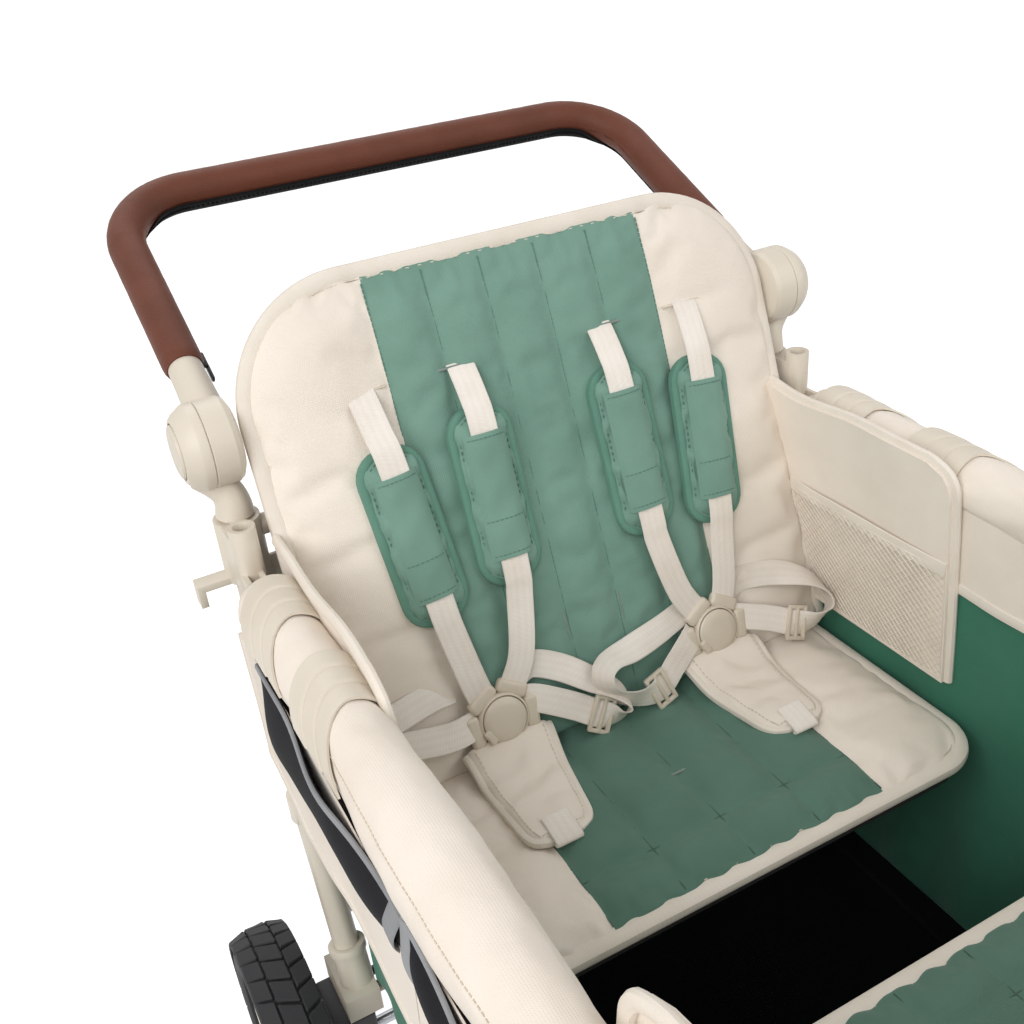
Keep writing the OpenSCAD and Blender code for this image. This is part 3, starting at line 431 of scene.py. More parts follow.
@dataclass(frozen=True)
class Layout:
    """The wagon's main sizes in millimetres, as the solids have them."""

    mid_y: float
    post_y: float = 400.0
    rail_x: float = 276.0
    rail_z: float = 696.0
    cover_r: float = 24.0
    crease_y: float = 267.99
    seat_height: float = 498.0
    recline: float = 19.4
    pad_t: float = 26.0
    hub_y: float = 406.0
    hub_z: float = 800.0
    hub_seam: float = 281.0
    saddle_ys: tuple[float, ...] = (170.5, 283.5)

    def matrix(self, end: End, side: Side = Side.RIGHT) -> Matrix:
        """The turn from wagon millimetres into the frame.

        Args:
            end: The end that the piece is on.
            side: The side that the piece is on.

        Returns:
            A matrix, mirrored where the end or the side is.
        """
        return Matrix.Translation((0, -self.mid_y * MM, 0)) @ Matrix.Diagonal(
            (side.value * MM, end.value * MM, MM, 1)
        )

    def on_back(self, x: float = 0.0, up: float = 0.0, out: float = 0.0) -> Matrix:
        """A place on the backrest: x across, y up its slope, z out of its face.

        Args:
            x: Distance from the middle.
            up: Distance up the slope from the crease.
            out: Distance out of the face.

        Returns:
            The matrix of that place in wagon millimetres.
        """
        lean = math.radians(self.recline)
        turned = Matrix(
            (
                (1, 0, 0, 0),
                (0, math.sin(lean), -math.cos(lean), self.crease_y),
                (0, math.cos(lean), math.sin(lean), self.seat_height),
                (0, 0, 0, 1),
            )
        )
        return turned @ Matrix.Translation((x, up, out))

    def on_seat(self, x: float = 0.0, along: float = 0.0, out: float = 0.0) -> Matrix:
        """A place on the seat: x across, y forward from the crease, z up.

        Args:
            x: Distance from the middle, to the left.
            along: Distance forward from the crease.
            out: Height above the seat surface.

        Returns:
            The matrix of that place in wagon millimetres.
        """
        turned = Matrix(
            ((-1, 0, 0, 0), (0, -1, 0, self.crease_y), (0, 0, 1, self.seat_height), (0, 0, 0, 1))
        )
        return turned @ Matrix.Translation((x, along, out))


def spline(points: Sequence[Vector], share: float) -> Vector:
    """A point on a smooth curve through points.

    Args:
        points: What the curve goes through.
        share: Place on the curve, 0 at its start and 1 at its end.

    Returns:
        The point.
    """
    last = len(points) - 1
    place = min(max(share, 0.0), 1.0) * last
    k = min(int(place), last - 1)
    t = place - k
    b, c = points[k], points[k + 1]
    a = points[k - 1] if k else b * 2 - c
    d = points[k + 2] if k + 2 <= last else c * 2 - b
    return (b * 2 + (c - a) * t + (a * 2 - b * 5 + c * 4 - d) * t**2 + (b * 3 - a - c * 3 + d) * t**3) / 2


@dataclass(frozen=True)
class Run:
    """A line that a band, tube or row of stitches follows, with the way its face looks."""

    points: tuple[Vector, ...]
    faces: tuple[Vector, ...]

    @classmethod
    def through(cls, places: Iterable[tuple[Sequence[float], Sequence[float]]]) -> "Run":
        """Makes a run from pairs of a point and a facing.

        Args:
            places: The pairs in order.

        Returns:
            The run.
        """
        pairs = list(places)
        return cls(tuple(Vector(p) for p, _ in pairs), tuple(Vector(n) for _, n in pairs))

    def at(self, share: float) -> Matrix:
        """The place at a share of the run.

        Args:
            share: 0 at the start and 1 at the end.

        Returns:
            A matrix whose x is across the run, y along it and z out of its face.
        """
        step = 0.25 / len(self.points)
        here = spline(self.points, share)
        ahead = spline(self.points, min(1, share + step))
        behind = spline(self.points, max(0, share - step))
        way = (ahead - behind).normalized()
        across = way.cross(spline(self.faces, share)).normalized()
        face = across.cross(way)
        return Matrix.Translation(here) @ Matrix((across, way, face)).transposed().to_4x4()

    @property
    def length(self) -> float:
        """The run's length in millimetres."""
        steps = [spline(self.points, k / 200) for k in range(201)]
        return sum((b - a).length for a, b in zip(steps, steps[1:]))


def grid(
    columns: int, rows: int, place: Callable[[float, float], Vector], width: float, length: float
) -> bmesh.types.BMesh:
    """A flat grid laid onto a curved surface, with its lay kept as a UV map in metres.

    Args:
        columns: Cells across.
        rows: Cells along.
        place: The point for each (u, v), both from -1 to 1.
        width: The cloth's width.
        length: The cloth's length.

    Returns:
        The mesh.
    """
    bm = bmesh.new()
    lay = bm.loops.layers.uv.new("UVMap")
    bmesh.ops.create_grid(bm, x_segments=columns, y_segments=rows, size=1)
    for face in bm.faces:
        for loop in face.loops:
            loop[lay].uv = (loop.vert.co.x * width * MM / 2, loop.vert.co.y * length * MM / 2)
    for vert in bm.verts:
        vert.co = place(vert.co.x, vert.co.y)
    return bm


def oval(width: float, height: float, steps: int = 12, power: float = 2.0) -> list[tuple[float, float]]:
    """The outline of a band or tube, square-shouldered where power is high.

    Args:
        width: Its whole width.
        height: Its whole height.
        steps: Number of corners.
        power: 2 for an ellipse, 4 or more for a rounded rectangle.

    Returns:
        The corners, anticlockwise.
    """
    turns = [2 * math.pi * k / steps for k in range(steps)]
    return [
        (
            width / 2 * math.copysign(abs(math.cos(t)) ** (2 / power), math.cos(t)),
            height / 2 * math.copysign(abs(math.sin(t)) ** (2 / power), math.sin(t)),
        )
        for t in turns
    ]


def tube(
    run: Run,
    outline: Sequence[tuple[float, float]],
    rows: int,
    swell: Callable[[float, float], float] | None = None,
) -> bmesh.types.BMesh:
    """A closed band or tube along a run.

    Args:
        run: The line it follows.
        outline: Its cross-section, across and out of the face.
        rows: Cells along it.
        swell: Factor on the cross-section for a share of the run and a share of the outline.

    Returns:
        The mesh.
    """
    corners = len(outline)
    around = sum(math.dist(outline[k], outline[k - 1]) for k in range(corners))

    def place(u: float, v: float) -> Vector:
        """The point for a share around and a share along."""
        turn, along = (u + 1) / 2, (v + 1) / 2
        a, b = outline[round(turn * corners) % corners]
        size = swell(along, turn) if swell else 1.0
        return run.at(along) @ Vector((a * size, 0, b * size))

    bm = grid(corners, rows, place, around, run.length)
    bmesh.ops.remove_doubles(bm, verts=bm.verts, dist=0.001)
    bmesh.ops.holes_fill(bm, edges=[e for e in bm.edges if e.is_boundary], sides=0)
    bmesh.ops.recalc_face_normals(bm, faces=bm.faces)
    return bm


def lathe(profile: Sequence[tuple[float, float]], steps: int = 48) -> bmesh.types.BMesh:
    """A round piece about the x axis.

    Args:
        profile: Places along the axis with their radius, from end to end.
        steps: Cells around.

    Returns:
        The mesh, closed at its poles.
    """
    bm = bmesh.new()
    verts = [bm.verts.new((a, 0, r)) for a, r in profile]
    edges = [bm.edges.new(pair) for pair in zip(verts, verts[1:])]
    bmesh.ops.spin(
        bm, geom=verts + edges, axis=(1, 0, 0), cent=(0, 0, 0), angle=2 * math.pi, steps=steps, use_merge=True
    )
    bmesh.ops.remove_doubles(bm, verts=bm.verts, dist=0.001)
    bmesh.ops.recalc_face_normals(bm, faces=bm.faces)
    return bm


def block(size: Sequence[float], place: Matrix, edge: float = 0.0, segments: int = 2) -> bmesh.types.BMesh:
    """A box with rounded edges.

    Args:
        size: Its three sizes.
        place: Where its middle goes.
        edge: Radius of its edges.
        segments: Cells in each rounded edge.

    Returns:
        The mesh.
    """
    bm = bmesh.new()
    bmesh.ops.create_cube(bm, size=1)
    bmesh.ops.scale(bm, vec=size, verts=bm.verts)
    if edge:
        bmesh.ops.bevel(
            bm, geom=bm.edges, offset=edge, segments=segments, profile=0.5, affect="EDGES", material=-1
        )
    bm.transform(place)
    return bm


def absorb(
    target: bmesh.types.BMesh,
    other: bmesh.types.BMesh,
    place: Matrix | None = None,
    finish: int | None = None,
) -> None:
    """Adds one mesh to another.

    Args:
        target: The mesh that grows.
        other: The mesh that goes into it, and is used up.
        place: Where it goes.
        finish: The number of its finish.
    """
    if place is not None:
        other.transform(place)
        if place.determinant() < 0:
            bmesh.ops.reverse_faces(other, faces=other.faces)
    if finish is not None:
        for face in other.faces:
            face.material_index = finish
    held = bpy.data.meshes.new("held")
    other.to_mesh(held)
    other.free()
    target.from_mesh(held)
    bpy.data.meshes.remove(held)


def thicken(bm: bmesh.types.BMesh, thickness: float) -> bmesh.types.BMesh:
    """Gives a sheet its thickness, on the side its faces look away from.

    Args:
        bm: The sheet.
        thickness: Its thickness.

    Returns:
        The same mesh.
    """
    bmesh.ops.recalc_face_normals(bm, faces=bm.faces)
    bmesh.ops.solidify(bm, geom=bm.faces, thickness=thickness)
    bmesh.ops.recalc_face_normals(bm, faces=bm.faces)
    return bm


def stitches(run: Run, pitch: float = 4.5, length: float = 3.0, width: float = 0.8) -> bmesh.types.BMesh:
    """A row of stitches.

    Args:
        run: The seam.
        pitch: Distance from stitch to stitch.
        length: Length of one stitch.
        width: Width of the thread.

    Returns:
        The mesh, a small block for each stitch.
    """
    bm = bmesh.new()
    count = max(1, int(run.length / pitch))
    for k in range(count):
        made = bmesh.ops.create_cube(bm, size=1, matrix=Matrix.Diagonal((width, length, width, 1)))
        bmesh.ops.transform(bm, matrix=run.at((k + 0.5) / count), verts=made["verts"])
    return bm


def place_piece(
    name: str,
    bm: bmesh.types.BMesh,
    place: Matrix,
    finishes: Sequence[Finish],
    body: str = "",
    slot: str = "",
    stands_for: Sequence[str] = (),
    sharp: float = 40.0,
) -> bpy.types.Object:
    """Turns a mesh into a piece of the wagon.

    Args:
        name: The piece's name.
        bm: Its mesh, which is used up.
        place: The turn from its own millimetres into the frame.
        finishes: Its finishes, in the order of its face numbers.
        body: The body it rides on, or nothing for a piece that rides on none.
        slot: The name of a material slot; not used.
        stands_for: The nodes it replaces.
        sharp: Angle above which an edge stays sharp, degrees.

    Returns:
        The piece.
    """
    bm.transform(place)
    if place.determinant() < 0:
        bmesh.ops.reverse_faces(bm, faces=bm.faces)
    mesh = bpy.data.meshes.new(name)
    bm.to_mesh(mesh)
    bm.free()
    for finish in finishes:
        mesh.materials.append(finish.material())
    mesh.shade_smooth()
    mesh.set_sharp_from_angle(angle=math.radians(sharp))
    piece = bpy.data.objects.new(name, mesh)
    bpy.context.scene.collection.objects.link(piece)
    if body:
        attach(piece, body)
    if stands_for:
        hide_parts(*stands_for)
    LOG.info("%s rides on %s", name, body or "two bodies")
    return piece


def soften(piece: bpy.types.Object, levels: int = 1) -> None:
    """Rounds a piece with subdivision.

    Args:
        piece: The piece.
        levels: Number of rounds.
    """
    rounded = piece.modifiers.new("Rounding", "SUBSURF")
    rounded.levels = rounded.render_levels = levels


def inflate(piece: bpy.types.Object, sewn: Sequence[int], pressure: float, slack: float, cap: float) -> None:
    """Puffs a pad's cover out between its seams with a cloth simulation.

    Args:
        piece: The pad's cover.
        sewn: The points that its seams hold.
        pressure: Pressure of the filling.
        slack: Extra length of the cloth, as a share.
        cap: The furthest that a point may move, in millimetres.
    """
    rest = [v.co.copy() for v in piece.data.vertices]
    group = piece.vertex_groups.new(name="sewn")
    group.add(list(sewn), 1.0, "REPLACE")
    cloth = piece.modifiers.new("Cloth", "CLOTH")
    cloth.settings.quality = 5
    cloth.settings.mass = 0.2
    cloth.settings.vertex_group_mass = group.name
    cloth.settings.use_pressure = True
    cloth.settings.uniform_pressure_force = pressure
    cloth.settings.shrink_min = -slack
    cloth.settings.effector_weights.gravity = 0
    cloth.collision_settings.use_collision = False
    cloth.point_cache.frame_end = CLOTH_FRAMES
    for number in range(1, CLOTH_FRAMES + 1):
        bpy.context.scene.frame_set(number)
    puffed = piece.evaluated_get(bpy.context.evaluated_depsgraph_get())
    moved = [v.co.copy() for v in puffed.data.vertices]
    for vert, old, new in zip(piece.data.vertices, rest, moved):
        step = new - old
        if step.length > cap * MM:
            step = step.normalized() * cap * MM
        vert.co = old + step
    piece.modifiers.remove(cloth)
    piece.vertex_groups.remove(group)
    bpy.context.scene.frame_set(1)


@dataclass(frozen=True)
class Pad:
    """A quilted pad, drawn flat: x across, y along, z out of its back.

    Args:
        width: Its width.
        length: Its length.
        thick: Its height at the crown.
        edge: Its height at the edge.
        near_corner: Radius of the corners at its start.
        far_corner: Radius of the corners at its end.
        panel: Half the width of its middle panel.
        columns: Cells across the panel and across one side.
        rows: Cells along.
        seams: Places across of the seams along it.
        cross: Places along of the seams across it.
        groove: Depth of a seam.
        panel_cloth: The cloth of its middle panel.
    """

    width: float
    length: float
    thick: float
    edge: float
    near_corner: float
    far_corner: float
    panel: float
    columns: tuple[int, int]
    rows: int
    seams: tuple[float, ...] = ()
    cross: tuple[float, ...] = ()
    groove: float = 4.0
    panel_cloth: Finish = SAGE_CLOTH

    def spot(self, u: float, v: float) -> tuple[float, float, float]:
        """The place of a grid point.

        Args:
            u: Share across, from -1 to 1.
            v: Share along, from -1 to 1.

        Returns:
            The place across and along, and half the pad's width there.
        """
        near, far = self.near_corner, self.far_corner
        runs = (near * math.pi / 2, self.length - near - far, far * math.pi / 2)
        t = (v + 1) / 2 * sum(runs)
        half = self.width / 2
        if t < runs[0]:
            turn = math.pi / 2 * (1 - t / runs[0])
            along, half = near - near * math.sin(turn), half - near + near * math.cos(turn)
        elif t <= runs[0] + runs[1] or not far:
            along = near + t - runs[0]
        else:
            turn = math.pi / 2 * (t - runs[0] - runs[1]) / runs[2]
            along, half = self.length - far + far * math.sin(turn), half - far + far * math.cos(turn)
        middle, outer = self.columns
        share = middle / (middle + 2 * outer)
        panel = min(self.panel, half * 0.98)
        if abs(u) <= share + 1e-6:
            return u / share * panel, along, half
        return math.copysign(panel + (abs(u) - share) / (1 - share) * (half - panel), u), along, half

    def height(self, x: float, along: float, half: float) -> float:
        """The pad's height at a place.

        Args:
            x: Place across.
            along: Place along.
            half: Half the pad's width there.

        Returns:
            The height above its back.
        """
        side = 1 - min(1.0, abs(x) / half) ** 6
        far = 2 * along / self.length - 1
        end = 1 - (abs(far) if self.near_corner else max(0.0, far)) ** 7
        swell = max(0.0, side * end)
        crown = self.edge + (self.thick - self.edge) * swell**0.65
        inside = abs(x) <= self.panel + 1.0
        near = [abs(x - s) for s in self.seams] + [abs(along - c) for c in self.cross if inside]
        if near:
            crown -= self.groove * math.exp(-((min(near) / 7.0) ** 2)) * min(1.0, 1.6 * swell)
        if not inside:
            crown += 1.4 * swell * noise.noise(Vector((x / 70.0, along / 36.0, 2.0)))
        return max(self.edge, crown)

    def point(self, u: float, v: float) -> Vector:
        """The point for a grid place."""
        x, along, half = self.spot(u, v)
        return Vector((x, along, self.height(x, along, half)))

    def border(self, inset: float, height: float) -> Run:
        """The line round its sides and far end.

        Args:
            inset: Distance inside the edge.
            height: Height above its back.

        Returns:
            The run, with its face looking out of the pad.
        """
        sides = [self.spot(1, -1 + k / 30)[:2] for k in range(61)]
        top = [self.spot(1 - k / 12, 1)[:2] for k in range(1, 12)]
        half_way = sides + top
        outline = half_way + [(0.0, self.length)] + [(-x, y) for x, y in reversed(half_way)]
        if self.near_corner:
            bottom = [self.spot(-1 + k / 12, -1)[:2] for k in range(1, 24)]
            outline += bottom + outline[:1]
        middle = Vector((0, self.length / 2))
        inner = []
        for k, (x, y) in enumerate(outline):
            a, b = outline[max(0, k - 1)], outline[min(len(outline) - 1, k + 1)]
            way = Vector((b[0] - a[0], b[1] - a[1]))
            normal = Vector((way.y, -way.x)).normalized()
            if normal.dot(Vector((x, y)) - middle) < 0:
                normal.negate()
            inner.append(((x - normal.x * inset, y - normal.y * inset, height), (0, 0, 1)))
        return Run.through(inner)

    def line(self, x: float, lift: float = 0.6) -> Run:
        """The seam line along the pad at a place across."""
        rows = [self.length * (0.02 + 0.96 * k / 40) for k in range(41)]
        return Run.through(
            ((x, y, self.height(x, y, self.width / 2) + lift), (0, 0, 1)) for y in rows
        )

    def cover(
        self, name: str, place: Matrix, body: str, puff: tuple[float, float, float]
    ) -> bpy.types.Object:
        """Builds the pad, puffs it out and closes its back.

        Args:
            name: The piece's name.
            place: The turn from the pad's own millimetres into the frame.
            body: The body it rides on.
            puff: Pressure, slack and cap of the simulation.

        Returns:
            The pad, its middle panel in the second finish.
        """
        middle, outer = self.columns
        bm = grid(middle + 2 * outer, self.rows, self.point, self.width, self.length)
        near = self.width / (middle + 2 * outer) * 0.3
        reach = self.length / self.rows * 0.55
        sewn = []
        bm.verts.index_update()
        for vert in bm.verts:
            seam = any(abs(vert.co.x - s) < near for s in self.seams)
            cross = abs(vert.co.x) < self.panel + near and any(abs(vert.co.y - c) < reach for c in self.cross)
            if vert.is_boundary or seam or cross:
                sewn.append(vert.index)
        for face in bm.faces:
            face.material_index = int(abs(face.calc_center_median().x) < self.panel)
        piece = place_piece(name, bm, place, (CREAM_CLOTH, self.panel_cloth), body, sharp=180)
        inflate(piece, sewn, *puff)
        closed = bmesh.new()
        closed.from_mesh(piece.data)
        rim = [e for e in closed.edges if e.is_boundary]
        turned = place.to_3x3()
        made = bmesh.ops.extrude_edge_only(closed, edges=rim)["geom"]
        drop = turned @ Vector((0, 0, -self.edge))
        bmesh.ops.translate(closed, vec=drop, verts=[v for v in made if isinstance(v, bmesh.types.BMVert)])
        bmesh.ops.holes_fill(closed, edges=[e for e in closed.edges if e.is_boundary], sides=0)
        bmesh.ops.triangulate(closed, faces=[f for f in closed.faces if len(f.verts) > 8])
        bmesh.ops.recalc_face_normals(closed, faces=closed.faces)
        closed.to_mesh(piece.data)
        closed.free()
        soften(piece)
        return piece


@dataclass(frozen=True)
class BenchPads:
    """The back and seat pads of one bench, with their bindings, seams and belt slots."""

    layout: Layout
    end: End
    back: Pad = Pad(
        488.0, 430.0, 26.0, 15.0, 0.0, 98.0, 130.0, (40, 19), 66, (-130.0, -78.0, -26.0, 26.0, 78.0, 130.0)
    )
    # The seat's middle panel takes the sage painted darker with painted shade.
    seat: Pad = Pad(
        470.0, 211.0, 26.0, 15.0, 0.0, 38.0, 130.0, (40, 17), 34, (-130.0, -65.0, 0.0, 65.0, 130.0),
        (163.0,), 5.0, SHADED_SEAT_CLOTH,
    )
    tuck: float = 12.0
    binding_w: float = 17.0
    binding_t: float = 12.5

    def build(self) -> None:
        """Builds the bench's pads."""
        self.dress(self.back, "back", self.layout.on_back(out=-self.layout.pad_t), f"{self.end.word}_frame")
        seat = self.layout.on_seat(along=-self.tuck, out=-self.layout.pad_t)
        self.dress(self.seat, "seat", seat, f"{self.end.word}_seat")

    def dress(self, pad: Pad, part: str, local: Matrix, body: str) -> None:
        """Builds one pad with its binding, stitching and slots.

        Args:
            pad: The pad.
            part: back or seat.
            local: The pad's place in wagon millimetres.
            body: The body it rides on.
        """
        word = self.end.word
        place = self.layout.matrix(self.end) @ local
        cushion = pad.cover(f"{word}_{part}_cushion", place, body, (4.0, 0.03, 5.0))
        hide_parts(f"{word}_{part}_pad")
        edge = tube(pad.border(-0.5, 11.0), oval(self.binding_w, self.binding_t, 12, 2.6), 150)
        binding = place_piece(f"{word}_{part}_binding", edge, place, (CREAM_TAPE,), body, "cream_fabric")
        rows = stitches(pad.border(5.2, 11.0 + self.binding_t / 2 - 0.4), 4.5, 3.0, 0.8)
        for seam in pad.seams:
            absorb(rows, stitches(pad.line(seam), 4.5, 4.0, 0.9), finish=1)
        for cross in pad.cross:
            xs = [pad.panel * (k / 15 - 1) for k in range(31)]
            line = Run.through(((x, cross, pad.height(x, cross, pad.width / 2) + 0.6), (0, 0, 1)) for x in xs)
            absorb(rows, stitches(line, 4.5, 4.0, 0.9), finish=1)
        # The seat's seams take the thread painted darker with painted shade.
        thread = SHADED_SEAT_THREAD if pad.panel_cloth is SHADED_SEAT_CLOTH else SAGE_THREAD
        sewing = place_piece(f"{word}_{part}_stitching", rows, place, (SEWING_THREAD, thread), body)
        slots = self.slots(pad, part)
        threads = (SEWING_THREAD, SLOT_THREAD, ZIP_TAPE)
        openings = place_piece(f"{word}_{part}_slots", slots, place, threads, body)
        for piece in (cushion, binding, sewing, openings):
            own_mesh(piece)

    def slots(self, pad: Pad, part: str) -> bmesh.types.BMesh:
        """The bound slots that the belts go through.

        Args:
            pad: The pad.
            part: back or seat.

        Returns:
            The mesh of their lips.
        """
        bm = bmesh.new()
        across = [(s * x, 339.0, 46.0, 2.4) for s in (-1, 1) for x in (157.0, 67.0)]
        upright = [(s * 29.0, 92.0, 1.8, 28.0) for s in (-1, 1)]
        for x, y, wide, long in across + upright if part == "back" else [(-5.0, 105.0, 47.0, 2.4)]:
            top = pad.height(x, y, pad.width / 2) + 0.4
            slot = block((wide, long, 1.6), Matrix.Translation((x, y, top)), 0.7)
            absorb(bm, slot, finish=int(abs(x) < pad.panel))
        if part == "back":
            x, y = 231.0 * self.end.value, 293.0
            top = pad.height(x, y, pad.width / 2) + 0.3
            absorb(bm, block((2.2, 50.0, 1.6), Matrix.Translation((x, y, top)), 0.7), finish=2)
        return bm


@dataclass(frozen=True)
class Harness:
    """Both children's five-point harnesses on one bench."""

    layout: Layout
    end: End
    buckle_x: float = 112.0
    buckle_up: float = 40.0
    web_w: float = 25.0
    web_t: float = 2.0
    shoulder: Pad = Pad(50.0, 146.0, 13.0, 7.0, 20.0, 20.0, 20.0, (8, 4), 30, (), (), 2.0)
    crotch_len: float = 107.0
    crotch_t: float = 11.0

    def build(self) -> None:
        """Builds the webbing, pads and hardware of both sides."""
        for side in Side:
            self.webbing(side)
            self.pads(side)
            self.crotch_pad(side)
            self.hardware(side)

    def on_back(self, side: Side) -> Matrix:
        """The turn from backrest millimetres into the frame."""
        return self.layout.matrix(self.end, side) @ self.layout.on_back()

    def band(self, run: Run, rows: int) -> bmesh.types.BMesh:
        """A length of webbing along a run."""
        return tube(run, oval(self.web_w, self.web_t, 10, 6), rows)

    def webbing(self, side: Side) -> None:
        """Builds the straps of one side.

        Args:
            side: The side of the bench.
        """
        flat = (0, 0, 1)
        shoulder = (
            ((157, 341, -2), (156.4, 334, 2.2), (154, 305, 11), (151, 280, 15.5), (145, 200, 16.5),
             (141, 150, 15.8), (138, 128, 13.5), (131, 85, 12.0), (125, 60.5, 8.0)),
            ((67, 341, -2), (67, 334, 2.2), (67, 312, 11), (67, 290, 15.5), (68, 210, 16.5),
             (69, 160, 15.8), (71, 140, 13.5), (82, 90, 12.0), (98.5, 60.5, 8.0)),
        )
        bm = bmesh.new()
        for points in shoulder:
            absorb(bm, self.band(Run.through((p, flat) for p in points), 48))
        for route in self.waist(side):
            absorb(bm, self.band(Run.through(route), 72))
        under = ((self.buckle_x, 30, 4.5), (self.buckle_x, 18, 6), (self.buckle_x, 10, 13))
        absorb(bm, self.band(Run.through((p, (0, 0.5, 1)) for p in under), 16))
        name = f"{self.end.word}_webbing_{side.word}"
        piece = place_piece(name, bm, self.on_back(side), (WEBBING,), f"{self.end.word}_frame", "webbing",
                            (f"{self.end.word}_harness_straps",))
        self.crumple(piece)

    def waist(self, side: Side) -> tuple[tuple, ...]:
        """The waist straps of one child, as they lie: each point with the way the webbing faces there.

        Args:
            side: The child's side of the bench.

        Returns:
            The routes, in backrest millimetres outward from the middle, up the slope and out of it.
        """
        if side is Side.LEFT:
            return (
                (((147, 78, -1), (0, 0.3, 1)), ((170, 80, 6), (0, 0.3, 1)), ((200, 76, 9), (0.1, 0.3, 1)),
                 ((236, 66, 5), (0.2, 0.3, 1))),
                (((135, 43.5, 8), (0, 0.1, 1)), ((161, 44, 15), (0, 0.2, 1)), ((195, 50, 15), (0.1, 0.3, 1)),
                 ((237, 58, 9), (0.2, 0.3, 1))),
                (((88, 49, 8), (0, 0, 1)), ((76, 45, 12), (0, 0, 1)), ((47, 27, 16), (0, 0.1, 1)),
                 ((26, 12, 20), (0, -0.1, 1)), ((9, 5, 23), (-0.1, -0.8, 0.7)),
                 ((-1, 12, 26), (-0.9, -0.2, 0.4)),
                 ((7, 29, 24), (-0.2, 0.9, 0.5)), ((26, 45, 15), (0.1, 0.6, 0.8)), ((49, 63, 8), (0, 0.2, 1)),
                 ((72, 74, 4), (0, 0, 1)), ((90, 70, 4), (0, 0, 1))),
            )
        return (
            (((135, 45, 8), (0, 0, 1)), ((144, 42, 11), (0, 0, 1)), ((171, 31, 14), (0, 0, 1)),
             ((196, 18, 17), (0, -0.1, 1)), ((219, 13, 18), (0.1, -0.7, 0.8)),
             ((236, 22, 20), (0.9, -0.3, 0.4)),
             ((235, 40, 20), (0.8, 0.5, 0.4)), ((219, 57, 16), (0.2, 0.8, 0.6)), ((190, 70, 8), (0, 0.3, 1)),
             ((158, 75, 3), (0, 0, 1)), ((136, 70, 3), (0, 0, 1))),
            (((89, 45, 8), (0, 0, 1)), ((82, 41, 12), (0, 0, 1)), ((59, 26, 16), (0, 0, 1)),
             ((36, 13, 21), (0, -0.1, 1)), ((8, 16, 26), (-0.2, -0.7, 0.8)),
             ((-16, 31, 30), (-0.7, -0.6, 0.5)), ((-22, 47, 31), (-0.9, 0.4, 0.4)),
             ((-10, 57, 26), (-0.2, 0.9, 0.5)), ((18, 57, 17), (0, 0.6, 0.8)),
             ((53, 60, 9), (0, 0.2, 1)), ((84, 66, 4), (0, 0, 1))),
        )

    def crumple(self, piece: bpy.types.Object) -> None:
        """Gives a soft piece its own copy of its mesh.

        Args:
            piece: The piece.
        """
        place = self.layout.matrix(self.end) @ self.layout.on_back(out=-self.layout.pad_t)
        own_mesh(piece)

    def pads(self, side: Side) -> None:
        """Builds the shoulder pads of one side.

        Args:
            side: The side of the bench.
        """
        lay = self.layout
        feet = {"outer": ((140.0, 142.0), (157.0, 339.0)), "inner": ((69.0, 154.0), (67.0, 339.0))}
        for spot, (foot, slot) in feet.items():
            turn = -math.atan2(slot[0] - foot[0], slot[1] - foot[1])
            local = lay.on_back(foot[0], foot[1], 1.5) @ Matrix.Rotation(turn, 4, "Z")
            name = f"{self.end.word}_shoulder_{spot}_{side.word}"
            self.shoulder_pad(name, lay.matrix(self.end, side) @ local)

    def shoulder_pad(self, name: str, place: Matrix) -> None:
        """Builds one shoulder pad with its bound edge and the sleeve that holds the strap.

        Args:
            name: The start of its pieces' names.
            place: The turn from its own millimetres into the frame.
        """
        pad, body = self.shoulder, f"{self.end.word}_frame"
        cushion = pad.cover(f"{name}_pad", place, body, (3.0, 0.05, 3.0))
        for polygon in cushion.data.polygons:
            polygon.material_index = 1
        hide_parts(f"{self.end.word}_shoulder_pads")
        edge = tube(pad.border(-0.5, pad.edge / 2), oval(9.0, pad.edge + 2.6, 10, 2.6), 90)
        rows = stitches(pad.border(3.6, pad.edge + 2.2), 4.0, 2.6, 0.7)
        half, low, high = pad.width / 2 - 6, 20.0, pad.length - 18

        def over(u: float, v: float) -> Vector:
            """The sleeve's point for a share across and along."""
            y = low + (high - low) * (v + 1) / 2
            lift = 5.2 * max(0.0, 1 - abs(u) ** 3) + 0.4
            wrinkle = 0.7 * math.sin(v * 9 + u * 2.2) * (1 - u * u)
            return Vector((u * half, y, pad.height(u * half, y, pad.width / 2) + lift + wrinkle))

        absorb(edge, thicken(grid(12, 30, over, 2 * half, high - low), 1.6), finish=1)
        for y in (low + 4, low + 34, high - 4):
            share = (y - low) / (high - low) * 2 - 1
            line = [(over(u, share) + Vector((0, 0, 0.3)), (0, 0, 1)) for u in (-0.9, -0.5, 0.0, 0.5, 0.9)]
            absorb(rows, stitches(Run.through(line), 3.6, 2.4, 0.7))
        binding = place_piece(f"{name}_binding", edge, place, (SAGE_TAPE, SAGE_CLOTH), body, "sage_fabric")
        sewing = place_piece(f"{name}_stitching", rows, place, (SAGE_THREAD,), body)
        for piece in (cushion, binding, sewing):
            self.crumple(piece)

